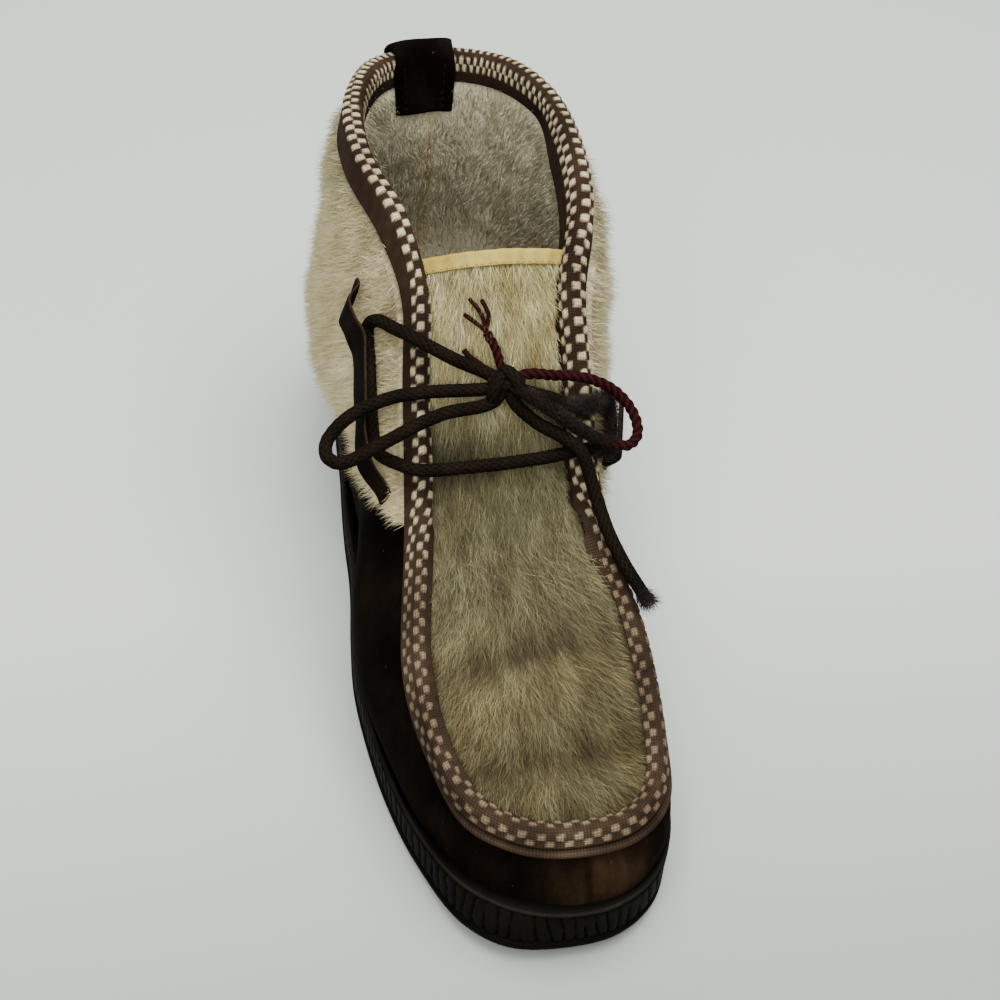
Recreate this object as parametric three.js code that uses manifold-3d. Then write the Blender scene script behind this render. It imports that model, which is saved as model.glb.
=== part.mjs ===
// A right-foot snow boot: a moulded rubber cup sole, a suede moccasin wall with fur quarters over it,
// a one-piece fur apron and tongue, a woven tape bound round the whole top edge, a pull tab,
// leather lace keepers and a round lace tied in a bow.
// Millimetres. +Z is up, the toe points along -Y and the inner (medial) side of the foot is +X.
// The origin is on the floor under the middle of the heel.

import * as THREE from "three";
import { mergeVertices } from "three/addons/utils/BufferGeometryUtils.js";
import Module from "manifold-3d";

const wasm = await Module();
wasm.setup();

// Driving dimensions
const SOLE_LENGTH = 272;
const BALL_WIDTH = 90;
const COLLAR_HEIGHT = 142;
const HEEL_CENTRE = 36; // from the back of the heel to the origin

// Sole
const FOREFOOT_RIM = 17.5;
const HEEL_RIM = 27;
const FOREFOOT_FLOOR = 9;
const HEEL_FLOOR = 17;
const TOE_SPRING = 5;
const ARCH_RISE = 4;
const HEEL_BEVEL = 1.5;
const SIDE_RIBS = 60; // counted with the grooves between them, on each side of the boot
const RIB_DEPTH = 1.3;
const TREAD_DEPTH = 3;
const TREAD_GROOVE = 4;
const TREAD_PITCH = 11;
const TREAD_BORDER = 8;
const RIM_WALL = 5.2;

// Upper and what is sewn to it
const GAP = 0.3; // between pieces that meet
const WALL = 2.6;
const FUR = 6.5;
const INSOLE = 4;
const APRON = 3.2;
const APRON_SINK = 3.6; // how far the apron's edge lies below the seam's ridge
const TONGUE_SINK = 8; // how far the tongue's edge lies below the quarter's edge
const TAPE = 1.5;
const TAPE_LEG = 6.5;
const HEM = 1;
const TAB_WIDTH = 21;
const TAB = 1.6;
const TAB_INSIDE = 18;
const TAB_OUTSIDE = 26;
const TAB_SHIFT = 4; // towards the outer side
const LACE = 4.2;
const LACE_CORE = 3; // the short end has lost its cover
const KEEPER = 1.5;

const TOE_SHIFT = 4.6; // the toe's tip lies towards the inner side
const table = (columns, rows) =>
  rows.map((row) => Object.fromEntries(columns.split(" ").map((column, i) => [column, row[i]])));

// One row for each section of the boot, from the back of the heel to the tip of the toe.
// along is a share of the sole's length, lateral and medial are shares of half the ball's width,
// height is a share of the collar's height. The bellies and swing bow the wall out in millimetres,
// and furFrom is the share of the wall's height where the fur starts.
const SECTIONS = table(
  "name soleAlong soleLateral soleMedial topAlong topLateral topMedial topHeight " +
    "bellyLateral bellyMedial swing furFrom",
  [
    ["heel back", 0, 0, 0, 0.028, 0, 0, 0.985, 1.5, 1.5, 4, 0.32],
    ["heel corner", 0.034, 0.48, 0.46, 0.052, 0.44, 0.47, 0.99, 3, 3, 4, 0.32],
    ["heel side", 0.13, 0.745, 0.7, 0.13, 0.68, 0.76, 1, 5, 5, 3, 0.32],
    ["ankle", 0.255, 0.815, 0.71, 0.235, 0.71, 0.84, 0.993, 7, 7, 2, 0.34],
    ["collar front", 0.375, 0.88, 0.67, 0.33, 0.53, 0.81, 0.95, 8, 7.5, 1, 0.42],
    ["throat top", 0.455, 0.9, 0.68, 0.392, 0.43, 0.69, 0.86, 8.5, 6.5, 0, 0.52],
    ["throat middle", 0.53, 0.955, 0.71, 0.463, 0.47, 0.68, 0.725, 9.5, 4, 0, 0.65],
    ["throat foot", 0.605, 0.993, 0.76, 0.545, 0.51, 0.67, 0.577, 11.8, 2.5, 0.3, 0.84],
    ["instep", 0.68, 0.975, 0.82, 0.627, 0.59, 0.715, 0.479, 11.8, 3, 0.6, 1],
    ["ball", 0.766, 0.911, 0.875, 0.728, 0.69, 0.81, 0.4, 8.2, 4.5, 0, 1],
    ["toes", 0.853, 0.786, 0.943, 0.818, 0.66, 0.815, 0.345, 3.9, 4.7, 0.9, 1],
    ["toe side", 0.944, 0.563, 0.747, 0.892, 0.5, 0.736, 0.303, 0.8, 4.7, 0.2, 1],
    ["toe corner", 0.983, 0.297, 0.455, 0.925, 0.21, 0.53, 0.282, 0.8, 4.4, 0.8, 1],
    ["toe tip", 0.993, 0, 0, 0.934, 0, 0, 0.275, 3.3, 3.3, 1.8, 1],
  ],
);
const LAST = SECTIONS.length - 1;

const clamp01 = (x) => Math.min(1, Math.max(0, x));
const ease = (x) => clamp01(x) ** 2 * (3 - 2 * clamp01(x));
const mix = (a, b, share) => a + (b - a) * share;
const at = (x, along, z) => new THREE.Vector3(x, HEEL_CENTRE - along * SOLE_LENGTH, z);
const alongOf = (point) => (HEEL_CENTRE - point.y) / SOLE_LENGTH;

// Heights of the sole's underside, its inside floor and its rim, along the length.
// The places are shares of the sole's length, and each change is eased over a run of it.
const SPRING = { from: 0.8, run: 0.26 };
const ARCH = { from: 0.29, to: 0.5, run: 0.09 };
const HEEL_SLOPE = { from: 0.2, run: 0.36 };
const BACK_BEVEL = { to: 0.035, run: 0.05 };
const toeSpring = (along) => TOE_SPRING * ease((along - SPRING.from) / SPRING.run);
const heelShare = (along) => 1 - ease((along - HEEL_SLOPE.from) / HEEL_SLOPE.run);
const soleBottom = (along) =>
  toeSpring(along) +
  ARCH_RISE * ease((along - ARCH.from) / ARCH.run) * ease((ARCH.to - along) / ARCH.run) +
  HEEL_BEVEL * ease((BACK_BEVEL.to - along) / BACK_BEVEL.run);
const soleFloor = (along) => mix(FOREFOOT_FLOOR, HEEL_FLOOR, heelShare(along)) + toeSpring(along);
const soleRim = (along) => mix(FOREFOOT_RIM, HEEL_RIM, heelShare(along)) + toeSpring(along);

// Closed loops round the boot: heel back, lateral side, toe tip, medial side
const around = (pointOf) => [
  ...SECTIONS.map((row) => pointOf(row, -1)),
  ...SECTIONS.slice(1, LAST).reverse().map((row) => pointOf(row, 1)),
];
const smoothLoop = (points) => new THREE.CatmullRomCurve3(points, true, "centripetal");
const half = BALL_WIDTH / 2;
const toeShift = (row) => (row === SECTIONS[LAST] ? TOE_SHIFT : 0);
const soleOutline = smoothLoop(
  around((row, side) =>
    at(side * half * (side < 0 ? row.soleLateral : row.soleMedial) + toeShift(row), row.soleAlong, 0),
  ),
);
const topEdge = smoothLoop(
  around((row, side) =>
    at(
      side * half * (side < 0 ? row.topLateral : row.topMedial) + toeShift(row),
      row.topAlong,
      row.topHeight * COLLAR_HEIGHT,
    ),
  ),
);
const wallBow = new THREE.CatmullRomCurve3(
  around(
    (row, side) =>
      new THREE.Vector3(side < 0 ? row.bellyLateral : row.bellyMedial, row.swing, row.furFrom),
  ),
  true,
  "catmullrom",
);

// A place on a loop: side is -1 lateral or +1 medial, and row counts sections from the heel
const LOOP_SPANS = 2 * LAST;
const loopAt = (side, row) => (((side < 0 ? row : LOOP_SPANS - row) / LOOP_SPANS) + 1) % 1;
const onLoop = (curve, t) => curve.getPoint(((t % 1) + 1) % 1);
const outward = (curve, t) => {
  const step = 1e-3;
  const along = onLoop(curve, t + step).sub(onLoop(curve, t - step)).setZ(0).normalize();
  return along.cross(new THREE.Vector3(0, 0, 1));
};

// The outer face of the upper's wall: t runs round the boot and v from the sole up to the top edge
const featherPoint = (t, lift = 0) => {
  const edge = onLoop(soleOutline, t).addScaledVector(outward(soleOutline, t), lift - RIM_WALL);
  return edge.setZ(soleFloor(alongOf(edge)) + GAP);
};
function wallFace(t, v) {
  const foot = featherPoint(t);
  const bow = onLoop(wallBow, t);
  const bulge = bow.x * Math.sin(Math.PI * v) + bow.y * Math.sin(2 * Math.PI * v);
  return foot.lerp(onLoop(topEdge, t), v).addScaledVector(outward(soleOutline, t), bulge);
}
function wallFrame(t, v) {
  const step = 1e-3;
  const across = wallFace(t + step, v).sub(wallFace(t - step, v));
  const up = wallFace(t, v + step).sub(wallFace(t, v - step)).normalize();
  return { up, normal: across.cross(up).normalize() };
}
const onWall = (t, v, lift) => wallFace(t, v).addScaledVector(wallFrame(t, v).normal, lift);
// The share of the wall's height that lies a given distance below its top edge
function shareBelowTop(t, depth) {
  const spans = 24;
  let length = 0;
  let last = wallFace(t, 1);
  for (let i = 1; i <= spans; i++) {
    const next = wallFace(t, 1 - i / spans);
    const span = next.distanceTo(last);
    if (length + span > depth) return 1 - (i - 1 + (depth - length) / span) / spans;
    length += span;
    last = next;
  }
  return 0;
}
// A point beside the top edge: depth below it along the wall, lift out of the wall's face
function besideEdge(t, depth, lift) {
  if (depth > 0) return onWall(t, shareBelowTop(t, depth), lift);
  const { up, normal } = wallFrame(t, 1);
  return wallFace(t, 1).addScaledVector(up, -depth).addScaledVector(normal, lift);
}

// Solids from sections: each section is a closed polygon with the same number of points
function solidOf(sections, closed) {
  const count = sections[0].length;
  const points = sections.flat();
  const faces = [];
  const spans = closed ? sections.length : sections.length - 1;
  for (let i = 0; i < spans; i++) {
    for (let j = 0; j < count; j++) {
      const a = i * count + j;
      const b = i * count + ((j + 1) % count);
      const c = ((i + 1) % sections.length) * count + j;
      const d = ((i + 1) % sections.length) * count + ((j + 1) % count);
      faces.push([a, b, d], [a, d, c]);
    }
  }
  if (!closed) {
    for (const [start, flip] of [[0, true], [(sections.length - 1) * count, false]]) {
      for (let low = 0, high = count - 1; high - low > 1; low++, high--) {
        const strip = [[low, low + 1, high]];
        if (high - low > 2) strip.push([low + 1, high - 1, high]);
        for (const [a, b, c] of strip) {
          faces.push(flip ? [start + a, start + c, start + b] : [start + a, start + b, start + c]);
        }
      }
    }
  }
  const volume = faces.reduce(
    (sum, [a, b, c]) => sum + points[a].dot(points[b].clone().cross(points[c])),
    0,
  );
  const index = volume < 0 ? faces.map(([a, b, c]) => [a, c, b]) : faces;
  const geometry = new THREE.BufferGeometry().setFromPoints(points);
  geometry.setIndex(index.flat());
  return geometry;
}
function toManifold(geometry) {
  const bare = geometry.clone();
  bare.deleteAttribute("normal");
  bare.deleteAttribute("uv");
  const merged = mergeVertices(bare, 1e-4);
  return new wasm.Manifold(
    new wasm.Mesh({
      numProp: 3,
      vertProperties: merged.attributes.position.array,
      triVerts: new Uint32Array(merged.index.array),
    }),
  );
}
function toGeometry(solid) {
  const mesh = solid.getMesh();
  const geometry = new THREE.BufferGeometry();
  geometry.setAttribute("position", new THREE.BufferAttribute(mesh.vertProperties, 3));
  geometry.setIndex(new THREE.BufferAttribute(mesh.triVerts, 1));
  return geometry;
}

const steps = (from, to, count) =>
  Array.from({ length: count + 1 }, (_, i) => mix(from, to, i / count));
const SPAN_STEPS = 3;
const AROUND = SPAN_STEPS * LOOP_SPANS;
const loopSteps = steps(0, 1, AROUND).slice(0, AROUND);

// Upper: one hollow wall, open underneath, along the apron and throat and at the collar
function upperWall() {
  const RISE = [0.14, 0.28, 0.425, 0.567, 0.708, 0.85, 0.925, 1]; // shares of the wall's height
  return solidOf(
    loopSteps.map((t) => [
      featherPoint(t),
      ...RISE.map((v) => onWall(t, v, 0)),
      ...RISE.toReversed().map((v) => onWall(t, v, -WALL)),
      featherPoint(t, -WALL),
    ]),
    true,
  );
}

// Sole: stacked outlines with ribbed sides, hollowed by the upper's own form and cut by the tread
function evenSteps(side, count) {
  const fine = steps(0, LAST, 400).map((row) => loopAt(side, row));
  const spans = fine.map((t, i) =>
    i ? onLoop(soleOutline, t).distanceTo(onLoop(soleOutline, fine[i - 1])) : 0,
  );
  const total = spans.reduce((a, b) => a + b);
  const found = [];
  let length = 0;
  fine.forEach((t, i) => {
    length += spans[i];
    if (length >= (found.length * total) / count - 1e-6) found.push(t);
  });
  return found;
}
function soleBody() {
  const ribSteps = [
    ...evenSteps(-1, SIDE_RIBS).slice(0, SIDE_RIBS),
    ...evenSteps(1, SIDE_RIBS).slice(1).reverse(),
  ];
  // Each row is one outline: how far it lies inside the sole's edge, how it is ribbed and how high it lies
  const RINGS = table("inset ribs fromBottom fromRim", [
    [2.4, 0, 0, null],
    [0.3, 0, 1.6, null],
    [0, 0, 4, null],
    [0.6, 1, 4.6, null],
    [0.6, 1, null, 6.6],
    [-0.3, 0, null, 6],
    [0, 0, null, 1.2],
    [1, 0, null, 0],
  ]);
  return solidOf(
    RINGS.map((ring) =>
      ribSteps.map((t, i) => {
        const inset = ring.inset + ring.ribs * RIB_DEPTH * (i % 2);
        const edge = onLoop(soleOutline, t).addScaledVector(outward(soleOutline, t), -inset);
        const along = alongOf(edge);
        const low = ring.fromRim === null;
        return edge.setZ(low ? soleBottom(along) + ring.fromBottom : soleRim(along) - ring.fromRim);
      }),
    ),
    false,
  );
}
function cupForm() {
  const rise = steps(0, 0.6, 4);
  return solidOf(
    rise.map((v) =>
      loopSteps.map((t) => {
        if (v > 0) return onWall(t, v, GAP);
        const point = featherPoint(t, GAP);
        return point.setZ(soleFloor(alongOf(point)));
      }),
    ),
    false,
  );
}
// The sole's half widths at a place along it
function soleSpan(along) {
  const near = (side) =>
    steps(0, LAST, 200)
      .map((row) => onLoop(soleOutline, loopAt(side, row)))
      .reduce((best, p) =>
        Math.abs(alongOf(p) - along) < Math.abs(alongOf(best) - along) ? p : best,
      ).x;
  return [near(-1), near(1)];
}
function treadGrooves() {
  const TREAD_ZONES = table("from to", [
    [0.072, 0.26],
    [0.54, 0.92],
  ]);
  const pitch = TREAD_PITCH / SOLE_LENGTH;
  return TREAD_ZONES.flatMap((zone) => {
    const count = Math.floor((zone.to - zone.from) / pitch);
    return steps(zone.from, zone.from + count * pitch, count).map((along) => {
      const [low, high] = soleSpan(along);
      const groove = new THREE.BoxGeometry(
        high - low - 2 * TREAD_BORDER,
        TREAD_GROOVE,
        2 * TREAD_DEPTH,
      );
      const place = at((low + high) / 2, along, soleBottom(along));
      return groove.translate(place.x, place.y, place.z);
    });
  });
}
function outsole() {
  const cup = toManifold(soleBody()).subtract(toManifold(cupForm()));
  return toGeometry(treadGrooves().reduce((sole, groove) => sole.subtract(toManifold(groove)), cup));
}
function insole() {
  const layer = (lift) =>
    loopSteps.map((t) => {
      const height = onLoop(topEdge, t).z - featherPoint(t).z;
      const point = lift ? onWall(t, lift / height, -WALL - 2 * GAP) : featherPoint(t, -WALL - 2 * GAP);
      return point.setZ(soleFloor(alongOf(point)) + GAP + lift);
    });
  return solidOf([layer(0), layer(INSOLE)], false);
}

// Fur quarters: a pile over the wall, from the back seam to the foot of the throat
const rowSteps = (from, to) => steps(from, to, Math.round(Math.abs(to - from) * SPAN_STEPS));
const FUR_FRONT = 22 / SPAN_STEPS;
// The pile thins towards the foot of the throat, over more rows on the inner side
const furLift = (side, row) =>
  GAP + FUR * (0.35 + 0.65 * ease((FUR_FRONT - row) / (side < 0 ? 0.7 : 2.2)));
function furQuarter(side) {
  const BACK_SEAM = 0.05;
  const PILE = [0.5, 0.95, 1, 1, 1, 0.8]; // shares of the pile's depth, from its lower edge up
  return solidOf(
    [BACK_SEAM, ...rowSteps(1 / SPAN_STEPS, FUR_FRONT)].map((row) => {
      const t = loopAt(side, row);
      const top = shareBelowTop(t, TAPE_LEG + 2 * GAP);
      const bottom = Math.min(onLoop(wallBow, t).z, top - 0.015);
      const rise = PILE.map((_, i) => mix(bottom, top, i / (PILE.length - 1)));
      return [
        ...rise.map((v, i) => onWall(t, v, mix(GAP, furLift(side, row), PILE[i]))),
        ...rise.toReversed().map((v) => onWall(t, v, GAP)),
      ];
    }),
    false,
  );
}

// Apron and tongue: one sheet that fills the apron and passes under the throat's edges
const SHEET_FRONT = 12;
const SINK_FROM = 8.4;
const SINK_TO = 7.6;
const TONGUE_TOP = 4.4;
const SHEET_ACROSS = 8;
const sheetSink = (row) => ease((SINK_FROM - row) / (SINK_FROM - SINK_TO));
function sheetEdge(side, row, lift) {
  const sink = sheetSink(row);
  const inward = WALL + mix(2 * GAP, TAPE + 5 * GAP, sink);
  return besideEdge(loopAt(side, row), mix(APRON_SINK, TONGUE_SINK, sink), lift - inward);
}
function sheetFrame(row, lift) {
  const left = sheetEdge(-1, row, lift);
  const right = sheetEdge(1, row, lift);
  const step = 0.05;
  const run = sheetEdge(-1, row - step, lift).add(sheetEdge(1, row - step, lift)).sub(left).sub(right);
  run.normalize();
  return { left, right, run, normal: right.clone().sub(left).cross(run).normalize() };
}
function sheetSection(row, lift) {
  const face = sheetFrame(row, 0);
  const arch = mix(0.09, 0.2, sheetSink(row)) * ease((SHEET_FRONT + 0.3 - row) / 1.5);
  const crown = arch * face.right.distanceTo(face.left);
  const top = face.left.clone().lerp(face.right, 0.5).addScaledVector(face.normal, crown + lift);
  const { left, right } = lift < 0 ? sheetFrame(row, lift) : face;
  const middle = left.clone().lerp(right, 0.5);
  const rise = top.clone().sub(middle);
  const over = lift > 0 ? lift : 0;
  return steps(0, 1, SHEET_ACROSS).map((share) =>
    left
      .clone()
      .lerp(right, share)
      .addScaledVector(face.normal, over)
      .addScaledVector(rise.clone().addScaledVector(face.normal, -over), 1 - (2 * share - 1) ** 2),
  );
}
function apronAndTongue() {
  const rows = [...rowSteps(SHEET_FRONT, 14 / SPAN_STEPS), TONGUE_TOP];
  return solidOf(
    rows.map((row) => [...sheetSection(row, 0), ...sheetSection(row, -APRON).reverse()]),
    false,
  );
}
// A folded strip over the tongue's top edge
function tongueHem() {
  const HEM_ROWS = 0.17;
  const above = (lift, rise) => {
    const { run } = sheetFrame(TONGUE_TOP, 0);
    return sheetSection(TONGUE_TOP, lift).map((point) => point.addScaledVector(run, rise));
  };
  const low = TONGUE_TOP + HEM_ROWS;
  const rails = [
    sheetSection(low, GAP),
    sheetSection(low, GAP + HEM),
    above(GAP + HEM, GAP + HEM),
    above(-APRON - GAP - HEM, GAP + HEM),
    sheetSection(low, -APRON - GAP - HEM),
    sheetSection(low, -APRON - GAP),
    above(-APRON - GAP, GAP),
    above(GAP, GAP),
  ];
  return solidOf(
    steps(0, SHEET_ACROSS, SHEET_ACROSS).map((i) => rails.map((rail) => rail[i])),
    false,
  );
}

// Woven tape folded over the top edge all round: over the apron seam's ridge, and right round the edge
// at throat and collar
const wrapShare = (row) => ease((7.9 - row) / 0.9);
function bindingTape() {
  const APRON_TURN = 0.55 * Math.PI;
  const APRON_LEG = 3.2;
  const APRON_FOLD = 0.75 * WALL;
  const TAPE_CLEAR = 1.8 * GAP;
  const section = (t) => {
    const row = LAST - Math.abs(((t * LOOP_SPANS) % LOOP_SPANS) - LAST);
    const wrap = wrapShare(row);
    const turn = mix(APRON_TURN, Math.PI, wrap);
    const leg = mix(APRON_LEG, TAPE_LEG, wrap);
    const over = mix(APRON_FOLD, WALL + 2 * TAPE_CLEAR + TAPE, wrap);
    const towards = (angle) => [-Math.sin(angle), -Math.cos(angle)];
    const step = ([lift, depth], [x, y], length) => [lift + x * length, depth + y * length];
    // The tape's middle line beside the edge, as lift out of the wall and depth below the edge
    const middle = TAPE_CLEAR + TAPE / 2;
    const corner = [middle, -middle];
    const inside = step(corner, towards(turn / 2), over);
    const outerEnd = [middle, TAPE_LEG];
    const innerEnd = step(inside, towards(turn), leg);
    const offset = (line, shift) => {
      const headings = line
        .slice(1)
        .map((place, i) => new THREE.Vector2(place[0] - line[i][0], place[1] - line[i][1]).normalize());
      return line.map(([lift, depth], i) => {
        const run = headings[Math.max(0, i - 1)].clone();
        run.add(headings[Math.min(headings.length - 1, i)]);
        run.multiplyScalar((2 * shift) / run.lengthSq());
        return besideEdge(t, depth + run.x, lift - run.y);
      });
    };
    const onWallSide = [
      outerEnd,
      [middle, TAPE_LEG / 2],
      corner,
      inside,
      step(inside, towards(turn), leg / 2),
      innerEnd,
    ];
    return [
      ...offset([outerEnd, corner, inside, innerEnd], TAPE / 2),
      ...offset(onWallSide, -TAPE / 2).reverse(),
    ];
  };
  return solidOf(loopSteps.map(section), true);
}

// Pull tab: a strap folded over the tape at the back, sewn inside and outside
function pullTab() {
  const TAB_ACROSS = 4;
  const inside = -WALL - TAPE - 3 * GAP;
  const onTape = TAPE + 3 * GAP;
  const onFur = FUR + 4 * GAP;
  const shoulder = -TAPE - 2.5 * GAP;
  const bend = 1.4;
  const fold = shoulder - bend;
  const flare = { lift: onTape + 1, depth: TAPE_LEG - 2.5 };
  // The strap's inner face from its inner end over the top to its outer end
  const STRAP = table("lift depth", [
    [inside, TAB_INSIDE],
    [inside, TAB_INSIDE / 2],
    [inside, shoulder],
    [inside + bend, fold],
    [onTape - bend, fold],
    [onTape, shoulder],
    [flare.lift, flare.depth],
    [onFur, TAPE_LEG],
    [onFur, (TAPE_LEG + TAB_OUTSIDE) / 2],
    [onFur, TAB_OUTSIDE],
  ]);
  const reach = onLoop(topEdge, 0.01).distanceTo(onLoop(topEdge, -0.01)) / 0.02;
  const across = steps(-0.5, 0.5, TAB_ACROSS).map((share) => (TAB_SHIFT + share * TAB_WIDTH) / reach);
  const faceOf = (thick) =>
    STRAP.map((place, i) => {
      const before = STRAP[Math.max(0, i - 1)];
      const after = STRAP[Math.min(STRAP.length - 1, i + 1)];
      const run = new THREE.Vector2(after.lift - before.lift, after.depth - before.depth).normalize();
      return across.map((t) => besideEdge(t, place.depth - thick * run.x, place.lift + thick * run.y));
    });
  const lower = faceOf(0);
  const upper = faceOf(TAB);
  return solidOf(
    STRAP.map((_, i) => [...lower[i], ...upper[i].toReversed()]),
    false,
  );
}

// Lace keepers: on each side a leather strip that stands off the fur, with the lace under it.
// The lateral strip opens into an upper and a lower loop, the medial one is short.
const KEEPERS = table("name side from to depthFrom depthTo width open", [
  ["keeper_lateral", -1, 4.05, 6.95, 24, 12, 9, 1],
  ["keeper_medial", 1, 6.03, 6.8, 8.5, 8, 5, 0],
]);
function keeper({ side, from, to, depthFrom, depthTo, width, open }) {
  const under = LACE + 2 * GAP;
  // How far the strip stands off the fur along its length, and how far its loops open beyond that
  const STRIP = table("share stand loop", [
    [0, 0, 0],
    [0.04, 0, 0],
    [0.09, 0.75, 0.3],
    [0.14, 1, 0.55],
    [0.27, 1, 0.4],
    [0.36, 1, 0],
    [0.65, 1, 0],
    [0.76, 1, 0.35],
    [0.86, 1, 0.35],
    [0.92, 0.7, 0],
    [0.96, 0, 0],
    [1, 0, 0],
  ]);
  return solidOf(
    STRIP.map(({ share, stand, loop }) => {
      const row = mix(from, to, share);
      const depth = mix(depthFrom, depthTo, share);
      const lift = furLift(side, row) + 2 * GAP + (stand + open * loop) * under;
      const corner = (across, thick) => besideEdge(loopAt(side, row), depth + across, lift + thick);
      return [
        corner(-width / 2, 0),
        corner(width / 2, 0),
        corner(width / 2, KEEPER),
        corner(-width / 2, KEEPER),
      ];
    }),
    false,
  );
}

// Lace: one run through the keepers and across the throat, two bow loops and two ends, and the knot.
// A route's points are places in the boot's frame.
const KNOT = [4, -99.3, 105.3];
const LACES = table("name thickness steps route", [
  ["lace_run", LACE, 38, [
    [-1.2, -96.2, 107.5], [-12, -91.5, 111], [-22, -86.5, 115], [-27.5, -81, 114.8],
    [-32, -75.2, 113.6], [-34.4, -73, 110], [-35, -75.5, 106.3], [-35, -81, 102.1],
    [-35.7, -88.4, 96.6], [-36.2, -96.7, 91.1], [-36.2, -102.9, 87.8], [-34.5, -107.2, 87.2],
    [-30, -111.4, 87.4], [-24, -115.6, 88.3], [-12, -116, 88.2], [3, -115, 87.8],
    [17, -113.8, 88], [27, -112.8, 88.8], [31.5, -112.2, 88.4], [35.6, -110.2, 86],
    [37, -107.2, 84.2], [37.6, -103.6, 85.1], [38.1, -100.4, 88.1], [37.5, -98.8, 92],
    [36.2, -99.2, 96], [32, -101.6, 97.8], [27, -103.4, 97.5], [18.5, -101.3, 100],
    [9.4, -99.7, 102.9],
  ]],
  ["lace_loop_lateral", LACE, 18, [
    [-2.3, -99.3, 104.1], [-13, -98.6, 104], [-25, -97.6, 103], [-34.2, -98.3, 101.4],
    [-42, -100.3, 99.4], [-48.5, -104.1, 97], [-51.7, -108.1, 94.8], [-51.8, -111.9, 93.2],
    [-49, -114.2, 92.6], [-44.4, -113.9, 93.4], [-39, -112.2, 95], [-29.5, -109, 97.6],
    [-16.8, -105.2, 100.6], [-0.7, -103.3, 102.5],
  ]],
  ["lace_loop_medial", LACE, 16, [
    [9.9, -96.8, 106.7], [18.2, -97, 106], [27.8, -97.6, 104.6], [35.7, -99.8, 102.2],
    [41.4, -104.2, 98.4], [43.6, -108.6, 95], [43.2, -112.5, 92.4], [40.2, -115.2, 91.4],
    [35.3, -115.4, 92.4], [30.1, -114.3, 94.4], [22.6, -110.8, 98], [8.3, -103.3, 105.7],
  ]],
  ["lace_end_long", LACE, 9, [
    [6.4, -103.1, 100.9], [12, -107.4, 97], [19, -112.3, 94.8], [24.4, -117, 92.6],
    [27, -122.2, 86], [29.5, -129.6, 78.4], [32.5, -139.8, 72.4], [36.4, -148.6, 67.8],
    [39.8, -156, 64.8],
  ]],
  ["lace_end_short", LACE_CORE, 4, [
    [3.2, -94.5, 107.8], [2, -88.8, 111.6], [0, -85, 114.2], [-2.5, -80.2, 117.8], [-4, -75.8, 120.4],
  ]],
]);
function cordTube({ thickness, steps: count, route }) {
  const SIDES = 8;
  const corners = steps(0, 2 * Math.PI, SIDES).slice(0, SIDES);
  const section = new THREE.Shape(
    corners.map((a) => new THREE.Vector2(Math.cos(a), Math.sin(a)).multiplyScalar(thickness / 2)),
  );
  const path = new THREE.CatmullRomCurve3(route.map((point) => new THREE.Vector3(...point)));
  return new THREE.ExtrudeGeometry(section, { steps: count, extrudePath: path, bevelEnabled: false });
}
// Two turns of the lace that cross round the strands in the knot's middle
function laceKnot() {
  const TURN = 3.7; // radius of a turn's middle line
  const SLANT = 0.6;
  const STRETCH = 1.5;
  const turn = (slant) =>
    new THREE.TorusGeometry(TURN, LACE / 2, 6, 8).rotateY(Math.PI / 2).rotateZ(slant);
  const strands = new THREE.SphereGeometry(TURN, 8, 6).scale(STRETCH, 1, 1);
  const knot = toManifold(strands).add(toManifold(turn(SLANT))).add(toManifold(turn(-SLANT)));
  return toGeometry(knot).translate(...KNOT);
}

const MATERIALS = {
  rubber: { color: 0x23241f, roughness: 0.75, metalness: 0 },
  suede: { color: 0x24130c, roughness: 0.95, metalness: 0 },
  fur: { color: 0xc9bda0, roughness: 0.9, metalness: 0 },
  tape: { color: 0x6b5348, roughness: 0.9, metalness: 0 },
  cord: { color: 0x2a1d14, roughness: 0.9, metalness: 0 },
  hem: { color: 0xd6c48f, roughness: 0.8, metalness: 0 },
  pile: { color: 0xbdb6a4, roughness: 1, metalness: 0 },
};
const boot = new THREE.Group();
function add(name, geometry, finish) {
  const mesh = new THREE.Mesh(geometry, new THREE.MeshStandardMaterial(MATERIALS[finish]));
  mesh.name = name;
  boot.add(mesh);
}

add("outsole", outsole(), "rubber");
add("insole", insole(), "pile");
add("upper", upperWall(), "suede");
add("quarter_lateral", furQuarter(-1), "fur");
add("quarter_medial", furQuarter(1), "fur");
add("apron_tongue", apronAndTongue(), "fur");
add("tongue_hem", tongueHem(), "hem");
add("binding_tape", bindingTape(), "tape");
add("pull_tab", pullTab(), "suede");
for (const row of KEEPERS) add(row.name, keeper(row), "suede");
for (const lace of LACES) add(lace.name, cordTube(lace), "cord");
add("lace_knot", laceKnot(), "cord");

export default boot;
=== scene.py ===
# %% [markdown]
# # A fur snow boot
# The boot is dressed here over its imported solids: a rubber cup sole, a suede wall, fur on the shaft and
# on the apron, a woven tape round the top edge, leather keepers and a tied lace. The solids already have
# the right form, so every piece below is worked out from the same few tables and only adds what the
# solids leave plain: ribs, weave, pile, braid, seams and wear.

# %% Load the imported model
import math

import bpy
import numpy as np
from mathutils import Matrix, Vector


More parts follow.
